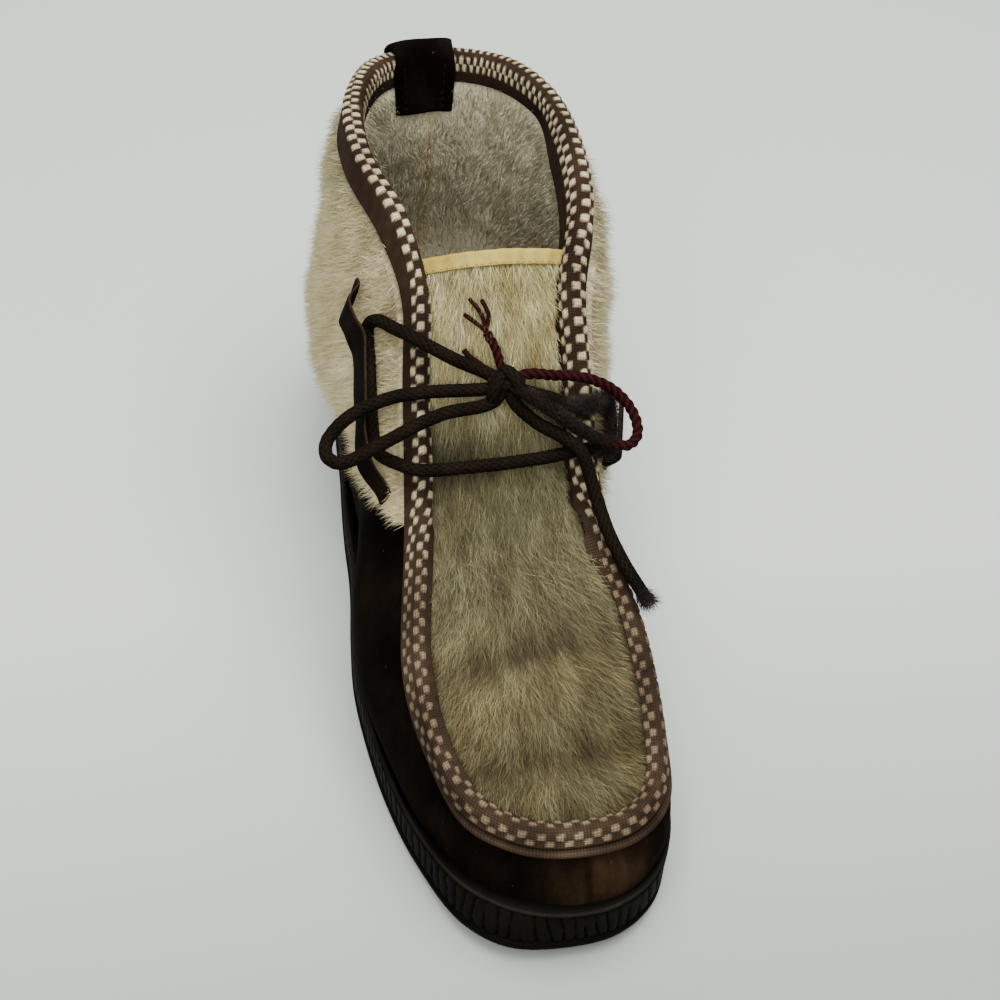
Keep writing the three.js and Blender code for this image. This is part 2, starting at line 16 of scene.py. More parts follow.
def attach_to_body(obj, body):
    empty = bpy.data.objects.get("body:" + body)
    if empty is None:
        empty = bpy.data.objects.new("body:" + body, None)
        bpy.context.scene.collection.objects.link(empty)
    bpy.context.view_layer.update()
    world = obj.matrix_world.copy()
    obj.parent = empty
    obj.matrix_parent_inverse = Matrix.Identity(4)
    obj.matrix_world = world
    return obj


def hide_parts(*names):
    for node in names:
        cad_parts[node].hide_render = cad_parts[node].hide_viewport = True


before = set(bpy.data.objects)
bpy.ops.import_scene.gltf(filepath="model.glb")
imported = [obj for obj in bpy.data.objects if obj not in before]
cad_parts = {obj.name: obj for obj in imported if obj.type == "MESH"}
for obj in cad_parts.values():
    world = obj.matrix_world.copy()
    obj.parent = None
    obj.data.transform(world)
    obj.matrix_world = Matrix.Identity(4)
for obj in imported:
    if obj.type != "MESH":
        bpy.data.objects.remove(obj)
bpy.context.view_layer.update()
MM = 0.001
print("nodes:", ", ".join(sorted(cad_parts)))

# %% [markdown]
# ## The camera
# A product photo is matched best by working out where its camera stood. This one looks down on the toe
# from a little to the outer side, and is rolled a few degrees. A camera can be aimed by a constraint, but
# a matrix built from its three directions also takes the roll. The places below are in millimetres.

# %% Camera at the photograph's angle
PHOTO_SIDE = 1000  # pixels
FOCAL = 2000  # pixels
AZIMUTH, ELEVATION, ROLL = (math.radians(a) for a in (-14.6, 45, -5.6))
LOOK_AT = Vector((0, -98, 60))
DISTANCE = 636
SHIFT_RIGHT, SHIFT_UP = 5.7, -2.9
SENSOR = 36  # Blender's usual sensor, in millimetres


def place_camera():
    back = Vector(
        (
            math.sin(AZIMUTH) * math.cos(ELEVATION),
            -math.cos(AZIMUTH) * math.cos(ELEVATION),
            math.sin(ELEVATION),
        )
    )
    right = Vector((math.cos(AZIMUTH), math.sin(AZIMUTH), 0))
    up = back.cross(right)
    eye = LOOK_AT + back * DISTANCE + right * SHIFT_RIGHT + up * SHIFT_UP
    rolled_right = right * math.cos(ROLL) - up * math.sin(ROLL)
    rolled_up = right * math.sin(ROLL) + up * math.cos(ROLL)
    camera = bpy.data.objects.new("camera", bpy.data.cameras.new("camera"))
    camera.data.sensor_width = SENSOR
    camera.data.lens = SENSOR * FOCAL / PHOTO_SIDE
    camera.data.clip_start = 0.01
    turned = Matrix((rolled_right, rolled_up, back)).transposed().to_4x4()
    camera.matrix_world = Matrix.Translation(eye * MM) @ turned
    bpy.context.scene.collection.objects.link(camera)
    bpy.context.scene.camera = camera
    return camera


print("camera at", [round(x, 3) for x in place_camera().location])

# %% [markdown]
# ## Helpers for meshes and nodes
# Every piece is a mesh made from arrays, in millimetres until the moment it becomes a mesh. A grid of
# points is the usual form: rows of points that may close on themselves. Modelling by hand would be freer,
# but arrays let every piece follow the same tables, so that neighbours fit without any fitting.


# %% Numbers and colours
def linear(hex_colour):
    """An sRGB hex colour as linear red, green, blue and alpha."""
    channels = [int(hex_colour[i : i + 2], 16) / 255 for i in (1, 3, 5)]
    return tuple(c / 12.92 if c <= 0.04045 else ((c + 0.055) / 1.055) ** 2.4 for c in channels) + (1.0,)


def ease(x):
    x = np.clip(x, 0, 1)
    return x * x * (3 - 2 * x)


def mix(a, b, share):
    return a + (b - a) * share


def unit(vectors):
    return vectors / np.maximum(np.linalg.norm(vectors, axis=-1, keepdims=True), 1e-9)


def bump(x, centre, width):
    return np.exp(-(((x - centre) / width) ** 2))


def soft_noise(points, size, seed, waves=12):
    """A smooth random field of about -1 to 1 whose lumps are about size millimetres across."""
    rng = np.random.default_rng(seed)
    directions = unit(rng.normal(size=(waves, 3))) * rng.uniform(0.7, 1.4, (waves, 1))
    phases = rng.uniform(0, 2 * np.pi, waves)
    turns = points @ (directions.T * np.pi / size) + phases
    return np.sin(turns).mean(axis=-1) * math.sqrt(waves) / 1.4


def blend_colours(share, *hexes):
    """Colours along a ramp of hex colours, at shares of 0 to 1."""
    ramp = np.array([linear(h) for h in hexes])
    stops = np.linspace(0, 1, len(hexes))
    share = np.clip(share, 0, 1)
    return np.stack([np.interp(share, stops, ramp[:, k]) for k in range(4)], axis=-1)


print("cream as linear colour:", [round(c, 2) for c in linear("#fff7cf")])


# %% Meshes
def grid_faces(rows, columns, close_rows=False, close_columns=False):
    """Quads over rows of points, each row with the same number of columns."""
    i = np.arange(rows if close_rows else rows - 1)[:, None]
    j = np.arange(columns if close_columns else columns - 1)[None, :]
    low, high = i * columns, ((i + 1) % rows) * columns
    left, right = j, (j + 1) % columns
    return np.stack([low + left, low + right, high + right, high + left], axis=-1).reshape(-1, 4)


def run_lengths(lines):
    """The length along each line of points, from 0 at its first point."""
    steps = np.linalg.norm(np.diff(lines, axis=-2), axis=-1)
    return np.concatenate([np.zeros_like(steps[..., :1]), np.cumsum(steps, axis=-1)], axis=-1)


def shell(front, back):
    """Points and faces of a closed plate between two grids of points."""
    rows, columns = front.shape[:2]
    index = np.arange(rows * columns).reshape(rows, columns)
    rim = np.concatenate([index[:, 0], index[-1, 1:], index[-2::-1, -1], index[0, -2:0:-1]])
    ahead = np.roll(rim, -1)
    face = grid_faces(rows, columns)
    side = np.stack([rim, ahead, ahead + index.size, rim + index.size], axis=1)
    points = np.concatenate([front.reshape(-1, 3), back.reshape(-1, 3)])
    return points, np.vstack([face, face[:, ::-1] + index.size, side])


def make_piece(name, points, faces, *materials, edges=()):
    """A smooth mesh object at the origin, from points in millimetres."""
    mesh = bpy.data.meshes.new(name)
    flat = np.asarray(points, float).reshape(-1, 3)
    mesh.from_pydata(flat * MM, edges, faces if isinstance(faces, list) else faces.tolist())
    mesh.validate()
    for material in materials:
        mesh.materials.append(material)
    mesh.shade_smooth()
    piece = bpy.data.objects.new(name, mesh)
    bpy.context.scene.collection.objects.link(piece)
    return piece


def paint(piece, name, values):
    """Keeps one number, vector or colour for each point of a piece, for its material or its hairs."""
    values = np.asarray(values, float).reshape(len(piece.data.vertices), -1)
    kinds = {1: ("FLOAT", "value"), 3: ("FLOAT_VECTOR", "vector"), 4: ("FLOAT_COLOR", "color")}
    kind, field = kinds[values.shape[1]]
    layer = piece.data.attributes.new(name, kind, "POINT")
    layer.data.foreach_set(field, values.ravel())


def attach(piece, slot, *solids):
    """The piece rides on the boot and stands for its solids, if any; the slot is not used."""
    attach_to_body(piece, "root")
    if solids:
        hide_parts(*solids)
    triangles = sum(len(p.vertices) - 2 for p in piece.data.polygons)
    print(piece.name, "for", ", ".join(solids) or "no solid of its own", "has", triangles, "triangles")


open_grid, closed_grid = grid_faces(3, 4), grid_faces(3, 4, True, True)
print("a grid of 3 by 4 points has", len(open_grid), "faces, or", len(closed_grid), "when it is closed")


# %% Nodes and materials
def node(tree, kind, inputs=(), **settings):
    """Adds a node, sets its properties, and sets or links its inputs."""
    new = tree.nodes.new(kind)
    for name, value in settings.items():
        setattr(new, name, value)
    for socket, value in dict(inputs).items():
        if isinstance(value, bpy.types.NodeSocket):
            tree.links.new(value, new.inputs[socket])
        else:
            new.inputs[socket].default_value = value
    return new


def new_material(name, rough, gloss):
    """A material with its tree and its Principled shader."""
    material = bpy.data.materials.new(name)
    material.use_nodes = True
    principled = material.node_tree.nodes["Principled BSDF"]
    principled.inputs["Roughness"].default_value = rough
    principled.inputs["Specular IOR Level"].default_value = gloss
    return material, material.node_tree, principled


print("a noise with lumps of one millimetre has a scale of", 1 / MM)

# %% [markdown]
# ## Cord and leather finishes
# The lace is a cotton braid: matt, with small crossing strands that catch the light one by one. Its cover
# has worn off one loop, and the twisted core shows there. A picture of a braid could be wrapped round the
# cord, but here the strands are in the meshes, so the material only needs fine fibre, a little colour
# change and a high roughness. Most finishes on the boot are matt in the same way, so one function makes
# them: it takes the tint that is painted on the piece, and breaks it up with flecks and a fine relief.


# %% Matt finishes: braided cotton, its twisted core, and cut leather
def shaded_tint(tree, shade):
    """The tint painted on the piece, made darker or paler by a number."""
    tint = node(tree, "ShaderNodeAttribute", attribute_name="tint")
    inputs = {0: tint.outputs["Color"], "Scale": shade}
    return node(tree, "ShaderNodeVectorMath", inputs, operation="SCALE").outputs["Vector"]


def matt_material(name, rough, gloss, flecks, shades, relief, grain=None, stretch=None, span=(0.3, 0.7)):
    """A matt surface: the piece's tint in paler and darker flecks, with a fine grain that catches light.

    Flecks and grain are noises: size in millimetres, detail, roughness. Without a grain the flecks are
    raised. Shades are what the flecks multiply the tint by, over a span of the noise. Relief is the
    bump's strength, and its height in millimetres. Stretch turns and scales the flecks.
    """
    material, tree, principled = new_material(name, rough, gloss)
    place = node(tree, "ShaderNodeTexCoord").outputs["Object"]
    laid = place
    if stretch:
        turn, scale = stretch
        inputs = {"Vector": place, "Rotation": turn, "Scale": scale}
        laid = node(tree, "ShaderNodeMapping", inputs).outputs["Vector"]
    noises = []
    for vector, (size, detail, roughness) in [(laid, flecks)] + ([(place, grain)] if grain else []):
        inputs = {"Vector": vector, "Scale": 1 / (size * MM), "Detail": detail, "Roughness": roughness}
        noises.append(node(tree, "ShaderNodeTexNoise", inputs).outputs["Fac"])
    inputs = {"Value": noises[0], "From Min": span[0], "From Max": span[1]}
    inputs |= {"To Min": shades[0], "To Max": shades[1]}
    colour = shaded_tint(tree, node(tree, "ShaderNodeMapRange", inputs).outputs["Result"])
    inputs = {"Height": noises[-1], "Strength": relief[0], "Distance": relief[1] * MM}
    raised = node(tree, "ShaderNodeBump", inputs)
    tree.links.new(colour, principled.inputs["Base Color"])
    tree.links.new(raised.outputs["Normal"], principled.inputs["Normal"])
    return material


def fibre_material(name, fleck, rough, contrast, gloss):
    """Spun fibre or cut leather: no gloss, and flecks as long as the fibre's floats, in millimetres."""
    return matt_material(
        name, rough, gloss, (fleck, 4, 0.7), (1 - contrast, 1 + contrast), relief=(0.5, 0.2)
    )


lace_braid = fibre_material("braided_cotton_brown", 0.5, 0.9, 0.6, 0.03)
lace_core = fibre_material("twisted_core_burgundy", 0.45, 0.8, 0.45, 0.04)
keeper_leather = fibre_material("cut_leather_dark", 0.9, 0.75, 0.45, 0.04)
print("finishes:", lace_braid.name, lace_core.name, keeper_leather.name)

# %% [markdown]
# ## The lace
# A tied lace is a soft cord of fixed length. Its route is the list of points that the solids
# follow too: up from the knot, through the lateral keeper, across the throat, through the medial keeper
# and back. A curve with a round bevel would give a plain tube. A tube swept in code, with a frame that
# doesn't twist, can have the braid pressed into its radius: two families of strands that wind opposite
# ways.

# %% Routes of the lace
LACE = 4.2
LACE_CORE = 3
KNOT = np.array([4, -99.3, 105.3])
LACE_RUN = [
    [-1.2, -96.2, 107.5], [-12, -91.5, 111], [-22, -86.5, 115], [-27.5, -81, 114.8],
    [-32, -75.2, 113.6], [-34.4, -73, 110], [-35, -75.5, 106.3], [-35, -81, 102.1],
    [-35.7, -88.4, 96.6], [-36.2, -96.7, 91.1], [-36.2, -102.9, 87.8], [-34.5, -107.2, 87.2],
    [-30, -111.4, 87.4], [-24, -115.6, 88.3], [-12, -116, 88.2], [3, -115, 87.8],
    [17, -113.8, 88], [27, -112.8, 88.8], [31.5, -112.2, 88.4], [35.6, -110.2, 86],
    [37, -107.2, 84.2], [37.6, -103.6, 85.1], [38.1, -100.4, 88.1], [37.5, -98.8, 92],
    [36.2, -99.2, 96], [32, -101.6, 97.8], [27, -103.4, 97.5], [18.5, -101.3, 100],
    [9.4, -99.7, 102.9],
]
LOOP_LATERAL = [
    [-2.3, -99.3, 104.1], [-13, -98.6, 104], [-25, -97.6, 103], [-34.2, -98.3, 101.4],
    [-42, -100.3, 99.4], [-48.5, -104.1, 97], [-51.7, -108.1, 94.8], [-51.8, -111.9, 93.2],
    [-49, -114.2, 92.6], [-44.4, -113.9, 93.4], [-39, -112.2, 95], [-29.5, -109, 97.6],
    [-16.8, -105.2, 100.6], [-0.7, -103.3, 102.5],
]
LOOP_MEDIAL = [
    [9.9, -96.8, 106.7], [18.2, -97, 106], [27.8, -97.6, 104.6], [35.7, -99.8, 102.2],
    [41.4, -104.2, 98.4], [43.6, -108.6, 95], [43.2, -112.5, 92.4], [40.2, -115.2, 91.4],
    [35.3, -115.4, 92.4], [30.1, -114.3, 94.4], [22.6, -110.8, 98], [8.3, -103.3, 105.7],
]
END_LONG = [
    [6.4, -103.1, 100.9], [12, -107.4, 97], [19, -112.3, 94.8], [24.4, -117, 92.6],
    [27, -122.2, 86], [29.5, -129.6, 78.4], [32.5, -139.8, 72.4], [36.4, -148.6, 67.8],
    [39.8, -156, 64.8],
]
END_SHORT = [
    [3.2, -94.5, 107.8], [2, -88.8, 111.6], [0, -85, 114.2], [-2.5, -80.2, 117.8], [-4, -75.8, 120.4],
]
print("the lace's run goes through", len(LACE_RUN), "points, its loops", len(LOOP_LATERAL), len(LOOP_MEDIAL))


# %% Smooth paths and cords
SPAN_POINTS = 40  # fine points between two given ones


def curve_span(p0, p1, p2, p3, w, centripetal=True):
    """Points at shares w from p1 to p2, on a smooth curve through four points."""
    if centripetal:
        d0, d1, d2 = (
            np.maximum(np.linalg.norm(b - a, axis=-1, keepdims=True), 1e-6) ** 0.5
            for a, b in ((p0, p1), (p1, p2), (p2, p3))
        )
        t1 = ((p1 - p0) / d0 - (p2 - p0) / (d0 + d1) + (p2 - p1) / d1) * d1
        t2 = ((p2 - p1) / d1 - (p3 - p1) / (d1 + d2) + (p3 - p2) / d2) * d1
    else:
        t1, t2 = (p2 - p0) / 2, (p3 - p1) / 2
    return p1 + t1 * w + (3 * (p2 - p1) - 2 * t1 - t2) * w**2 + (2 * (p1 - p2) + t1 + t2) * w**3


def smooth_path(points, step):
    """Points a step apart along a smooth open curve through given points, and its length."""
    points = np.asarray(points, float)
    ends = [2 * points[0] - points[1], *points, 2 * points[-1] - points[-2]]
    w = np.linspace(0, 1, SPAN_POINTS, endpoint=False)[:, None]
    fine = [curve_span(*four, w) for four in zip(ends, ends[1:], ends[2:], ends[3:])]
    fine = np.vstack([*fine, points[-1:]])
    length = run_lengths(fine)
    wanted = np.linspace(0, length[-1], max(2, round(length[-1] / step)) + 1)
    return np.stack([np.interp(wanted, length, fine[:, k]) for k in range(3)], axis=1), length[-1]


def path_frames(path, closed=False):
    """For each point of a path two directions across it, carried along without twist."""
    before = np.roll(path, 1, axis=0) if closed else np.vstack([path[:1], path[:-1]])
    after = np.roll(path, -1, axis=0) if closed else np.vstack([path[1:], path[-1:]])
    along = unit(after - before)
    side = np.cross(along[0], [0.3, 0.2, 0.9])
    sides = []
    for direction in along:
        side = side - direction * np.dot(side, direction)
        side = side / np.linalg.norm(side)
        sides.append(side)
    sides = np.array(sides)
    return sides, np.cross(along, sides)


def circles(path, angle, closed=False):
    """Directions round a path, at the same angles at each of its points."""
    side, over = path_frames(path, closed)
    return side[:, None] * np.cos(angle)[..., None] + over[:, None] * np.sin(angle)[..., None]


print("the lace's run is", round(smooth_path(LACE_RUN, LACE)[1]), "mm long")


# %% Strands of the cord
def braid(u, angle, lay=9.0, strands=7):
    """Relief of a round braid, 0 to 1: strands that wind both ways, one over the other."""
    turn = np.pi * u / lay * strands
    one = np.cos(strands * angle + turn)
    two = np.cos(strands * angle - turn)
    over = np.cos(turn) > 0
    return 0.5 + 0.5 * np.where(over, np.maximum(one, 0.75 * two), np.maximum(two, 0.75 * one))


def twist(u, angle, lay=8.0):
    """Relief of a three-strand rope, 0 to 1."""
    return np.abs(np.cos(1.5 * (angle - 2 * np.pi * u / lay)))


def tube_faces(rows, columns, closed=False):
    """Faces of a tube, with its two ends filled unless it closes on itself."""
    faces = grid_faces(rows, columns, closed, True).tolist()
    if not closed:
        last = (rows - 1) * columns
        faces += [list(range(columns))[::-1], list(range(last, last + columns))]
    return faces


def cord_mesh(path, radius, relief, depth, sides=28, closed=False):
    """Points, faces and shades of a cord, with its strands' relief pressed a depth into the radius."""
    u = run_lengths(path)[:, None]
    angle = np.linspace(0, 2 * np.pi, sides, endpoint=False)[None, :]
    height = relief(u, angle)
    uneven = 0.1 * np.sin(u / 3.1) * np.cos(angle + u / 7)
    thick = radius - depth * (1 - height) + uneven
    points = path[:, None] + circles(path, angle, closed) * thick[..., None]
    # the strands' relief doubles as their shade: painted highlight on top, painted shade between
    return points.reshape(-1, 3), tube_faces(len(path), sides, closed), height.ravel()


print("the braid's relief a quarter of the way round:", braid(0, np.linspace(0, np.pi / 2, 5)).round(2))

# %% The run, the bow and the ends
CORD_STEP = 0.55
BRAID_DEPTH, CORE_DEPTH = 0.26, 0.55
COVER = 0.35  # thickness of the braided cover over the core
BARE_SHARE = 0.62  # of the medial loop, from the knot on, where its cover is lost
# Tones run from painted shade between the strands to painted highlight on them, for braid and core
BRAID_TONES = ("#030201", "#0b0805", "#19120c")
CORE_TONES = ("#060201", "#160405", "#2a0b0b")


def into_knot(point):
    """A place most of the way from the end of a route to the middle of the knot."""
    return mix(np.array(point, float), KNOT, 0.7)


def cord_tint(points, shade, tones):
    """Painted highlight where the strands stand up and painted shade between them, uneven along the cord."""
    return blend_colours(shade + 0.12 * soft_noise(points, 6, 3), *tones)


def lace_piece(name, route, bare_share=0.0, both_ends=True):
    """A length of lace; up to a share of its length the cover is lost and the thinner core shows."""
    route = [into_knot(route[0]), *route, *([into_knot(route[-1])] if both_ends else [])]
    path, length = smooth_path(route, CORD_STEP)
    points, faces, shade = cord_mesh(path, LACE / 2, braid, BRAID_DEPTH)
    core_points, _, core_shade = cord_mesh(path, LACE / 2 - COVER, twist, CORE_DEPTH)
    bare = np.linspace(0, 1, len(path)) < bare_share
    on_core = np.repeat(bare, len(points) // len(path))
    points = np.where(on_core[:, None], core_points, points)
    piece = make_piece(name, points, faces, lace_braid, lace_core)
    tints = cord_tint(points, shade, BRAID_TONES), cord_tint(points, core_shade, CORE_TONES)
    paint(piece, "tint", np.where(on_core[:, None], tints[1], tints[0]))
    piece.data.polygons.foreach_set("material_index", [int(on_core[face[0]]) for face in faces])
    return piece, path, length


run_piece, run_path, _ = lace_piece("lace_run_braid", LACE_RUN)
attach(run_piece, "lace_cord", "lace_run")
BOW = [
    ("lace_bow_lateral", LOOP_LATERAL, 0, "lace_cord", "lace_loop_lateral", "object"),
    ("lace_bow_medial", LOOP_MEDIAL, BARE_SHARE, "lace_core", "lace_loop_medial", "object"),
    ("lace_tail", END_LONG, 0, "lace_cord", "lace_end_long", "bare"),
]
bow_paths = {}
for name, route, bare_share, slot, cad_node, far_end in BOW:
    piece, path, length = lace_piece(name, route, bare_share, far_end == "object")
    attach(piece, slot, cad_node)
    bow_paths[name] = path
    print(name, round(length), "mm long")

# %% [markdown]
# The knot is two turns of the lace that cross over the strands in its middle. The short end has lost its
# cover: its core splits into strands that spread like a small brush. A true knot would need a cord that is
# pulled tight in a simulation; from outside, turns that lie over the strands look the same.

# %% Knot and frayed short end
KNOT_TURN = 3.7
KNOT_STRETCH = 1.5
KNOT_DEPTH = 0.3
# The turns: slant in radians and shift in millimetres; the strands' shifts; the frayed tips and their bows
KNOT_TURNS = [(0.6, (1.2, 0.4, 0.3)), (-0.6, (-2.8, -1, -0.9))]
KNOT_STRANDS = [(0, 1.3, 0.9), (0, -1.2, 1.0), (0, 0.2, -1.4)]
FRAYED_TIPS = [((-4, -75.8, 120.4), 0.8), ((-6.2, -79.6, 117.4), -0.4), ((-0.6, -77.2, 120.8), 1.2)]
STUB = [[-0.6, -94.6, 106.8], [-3.2, -92.6, 108.4], [-6, -91.4, 110.2], [-7.6, -89.2, 111.6]]


def knot_parts():
    angle = np.linspace(0, 2 * np.pi, 44, endpoint=False)
    ring = np.stack([0 * angle, np.cos(angle), np.sin(angle)], axis=1) * KNOT_TURN
    parts = []
    for slant, shift in KNOT_TURNS:
        c, s = math.cos(slant), math.sin(slant)
        turn = np.array([[c, -s, 0], [s, c, 0], [0, 0, 1]])
        path = KNOT + np.array(shift) + ring @ turn.T
        parts.append(cord_mesh(path, LACE / 2, braid, KNOT_DEPTH, closed=True))
    middle = np.linspace(-KNOT_TURN * KNOT_STRETCH, KNOT_TURN * KNOT_STRETCH, 26)
    for shift in KNOT_STRANDS:
        strand = KNOT + np.array(shift) + np.stack([middle, 0.5 * np.sin(middle / 2), 0 * middle], axis=1)
        parts.append(cord_mesh(strand, LACE / 2 - 0.2, braid, KNOT_DEPTH))
    return parts


def frayed_parts():
    """The bare core up to where it splits, its strands, and a stub beside it."""
    stem = np.array([into_knot(END_SHORT[0]), *END_SHORT[:3]])
    split = stem[-1]
    parts = [cord_mesh(smooth_path(stem, 0.4)[0], LACE_CORE / 2, twist, 0.5, sides=16)]
    for tip, bow in FRAYED_TIPS:
        middle = (split + np.array(tip)) / 2 + np.array([bow, 0, 0.6])
        path, _ = smooth_path([stem[2] * 0.3 + split * 0.7, split, middle, tip], 0.5)
        parts.append(cord_mesh(path, 0.75, lambda u, a: twist(u, a, 2.6), 0.25, sides=10))
    path, _ = smooth_path(STUB, 0.4)
    parts.append(cord_mesh(path, 1.05, lambda u, a: twist(u, a, 3.2), 0.35, sides=10))
    return parts


def cords_piece(name, parts, tones, material):
    """Several cords as one piece."""
    starts = np.cumsum([0] + [len(points) for points, _, _ in parts])
    faces = [[start + k for k in face] for start, part in zip(starts, parts) for face in part[1]]
    points, shade = np.vstack([part[0] for part in parts]), np.concatenate([part[2] for part in parts])
    piece = make_piece(name, points, faces, material)
    paint(piece, "tint", cord_tint(points, shade, tones))
    return piece


knot = cords_piece("lace_knot_turns", knot_parts(), BRAID_TONES, lace_braid)
attach(knot, "lace_cord", "lace_knot")
fray = cords_piece("lace_frayed_core", frayed_parts(), CORE_TONES, lace_core)
attach(fray, "lace_core", "lace_end_short")

# %% [markdown]
# ## The boot's form
# All the pieces of the boot share one form: a table of sections from the heel to the toe, with the sole's
# outline, the top edge, and how far the wall bows out between them. Smooth closed curves run through the
# sections. A place on a curve is counted in sections: 0 is the back of the heel, 13 the tip of the toe,
# and the medial side comes back from 13 to 26. A subdivided cage would be quicker to shape by eye, but a
# table can be shared with the solids, and any point of the wall can be asked for by its place.

# %% Sections
SOLE_LENGTH = 272
BALL_WIDTH = 90
COLLAR_HEIGHT = 142
HEEL_CENTRE = 36
TOE_SHIFT = 4.6
FOREFOOT_RIM, HEEL_RIM = 17.5, 27
FOREFOOT_FLOOR, HEEL_FLOOR = 9, 17
RIM_WALL = 5.2
GAP = 0.3
WALL = 2.6
COLUMNS = (
    "sole_along sole_lateral sole_medial top_along top_lateral top_medial top_height "
    "belly_lateral belly_medial swing fur_from"
)
SECTIONS = {
    "heel back": (0, 0, 0, 0.028, 0, 0, 0.985, 1.5, 1.5, 4, 0.32),
    "heel corner": (0.034, 0.48, 0.46, 0.052, 0.44, 0.47, 0.99, 3, 3, 4, 0.32),
    "heel side": (0.13, 0.745, 0.7, 0.13, 0.68, 0.76, 1, 5, 5, 3, 0.32),
    "ankle": (0.255, 0.815, 0.71, 0.235, 0.71, 0.84, 0.993, 7, 7, 2, 0.34),
    "collar front": (0.375, 0.88, 0.67, 0.33, 0.53, 0.81, 0.95, 8, 7.5, 1, 0.42),
    "throat top": (0.455, 0.9, 0.68, 0.392, 0.43, 0.69, 0.86, 8.5, 6.5, 0, 0.52),
    "throat middle": (0.53, 0.955, 0.71, 0.463, 0.47, 0.68, 0.725, 9.5, 4, 0, 0.65),
    "throat foot": (0.605, 0.993, 0.76, 0.545, 0.51, 0.67, 0.577, 11.8, 2.5, 0.3, 0.84),
    "instep": (0.68, 0.975, 0.82, 0.627, 0.59, 0.715, 0.479, 11.8, 3, 0.6, 1),
    "ball": (0.766, 0.911, 0.875, 0.728, 0.69, 0.81, 0.4, 8.2, 4.5, 0, 1),
    "toes": (0.853, 0.786, 0.943, 0.818, 0.66, 0.815, 0.345, 3.9, 4.7, 0.9, 1),
    "toe side": (0.944, 0.563, 0.747, 0.892, 0.5, 0.736, 0.303, 0.8, 4.7, 0.2, 1),
    "toe corner": (0.983, 0.297, 0.455, 0.925, 0.21, 0.53, 0.282, 0.8, 4.4, 0.8, 1),
    "toe tip": (0.993, 0, 0, 0.934, 0, 0, 0.275, 3.3, 3.3, 1.8, 1),
}
ROWS = [dict(zip(COLUMNS.split(), values)) for values in SECTIONS.values()]
TIP = len(ROWS) - 1
SPANS = 2 * TIP
print("the heel is row 0, the tip of the toe row", TIP)


# %% Smooth loops
def around(point_of):
    """One point for each section: down the lateral side, round the tip and up the medial side."""
    lateral = [point_of(row, "lateral", -1) for row in ROWS]
    medial = [point_of(row, "medial", 1) for row in ROWS[TIP - 1 : 0 : -1]]
    return np.array(lateral + medial, float)


def loop_curve(points, centripetal):
    """A smooth closed curve through the points, as a function of a place counted in points."""

    def at(place):
        place = np.asarray(place, float) % SPANS
        first = np.floor(place).astype(int)
        four = (points[(first + k) % SPANS] for k in (-1, 0, 1, 2))
        return curve_span(*four, (place - first)[..., None], centripetal)

    return at


def edge_point(row, which, side, level, height):
    shift = TOE_SHIFT if row is ROWS[TIP] else 0
    x = side * BALL_WIDTH / 2 * row[f"{level}_{which}"] + shift
    return [x, HEEL_CENTRE - row[f"{level}_along"] * SOLE_LENGTH, height]


def sole_point(row, which, side):
    return edge_point(row, which, side, "sole", 0)


def top_point(row, which, side):
    return edge_point(row, which, side, "top", row["top_height"] * COLLAR_HEIGHT)


def bow_point(row, which, _):
    return [row[f"belly_{which}"], row["swing"], row["fur_from"]]


sole_outline = loop_curve(around(sole_point), True)
top_edge = loop_curve(around(top_point), True)
wall_bow = loop_curve(around(bow_point), False)
print("loops through", SPANS, "sections")

# %% [markdown]
# From the loops come the sole's heights, the wall's outer face and its frame: the way up the wall and the
# way out of it. A place beside the top edge is given by a depth below the edge and a lift out of the wall.

# %% Rows, places and heights of the sole
LATERAL, MEDIAL = -1, 1
TOE_SPRING, ARCH_RAISE, HEEL_ROLL = 5, 4, 1.5  # how far the underside rises there


def place_of(side, row):
    """The place on a loop of a row on one side."""
    return np.asarray(row, float) if side == LATERAL else SPANS - np.asarray(row, float)


def row_of(place):
    return TIP - np.abs(np.asarray(place, float) % SPANS - TIP)


def along_of(points):
    return (HEEL_CENTRE - points[..., 1]) / SOLE_LENGTH


def toe_spring(along):
    return TOE_SPRING * ease((along - 0.8) / 0.26)


def heel_share(along):
    return 1 - ease((along - 0.2) / 0.36)


def sole_bottom(along):
    arch = ARCH_RAISE * ease((along - 0.29) / 0.09) * ease((0.5 - along) / 0.09)
    return toe_spring(along) + arch + HEEL_ROLL * ease((0.035 - along) / 0.05)


def sole_floor(along):
    return mix(FOREFOOT_FLOOR, HEEL_FLOOR, heel_share(along)) + toe_spring(along)


def sole_rim(along):
    return mix(FOREFOOT_RIM, HEEL_RIM, heel_share(along)) + toe_spring(along)


print("the sole's rim is", sole_rim(0.1), "mm high at the heel and", round(sole_rim(0.95), 1), "at the toe")

# %% Wall and top edge
NEAR, NEAR_UP = 0.026, 1e-3  # small steps along a loop and up the wall, for directions


def outward(place):
    """Level directions out of the sole's outline."""
    along = sole_outline(place + NEAR) - sole_outline(place - NEAR)
    along[..., 2] = 0
    along = unit(along)
    return np.stack([along[..., 1], -along[..., 0], 0 * along[..., 0]], axis=-1)


def feather(place, lift=0.0):
    """Where the wall meets the sole's floor."""
    edge = sole_outline(place) + outward(place) * (np.asarray(lift)[..., None] - RIM_WALL)
    edge[..., 2] = sole_floor(along_of(edge)) + GAP
    return edge


def wall(place, v):
    """Points of the wall's outer face, from the sole's floor at v = 0 to the top edge at v = 1."""
    place, v = np.broadcast_arrays(np.asarray(place, float), np.asarray(v, float))
    bow = wall_bow(place)
    bulge = bow[..., 0] * np.sin(np.pi * v) + bow[..., 1] * np.sin(2 * np.pi * v)
    foot = feather(place)
    return foot + (top_edge(place) - foot) * v[..., None] + outward(place) * bulge[..., None]


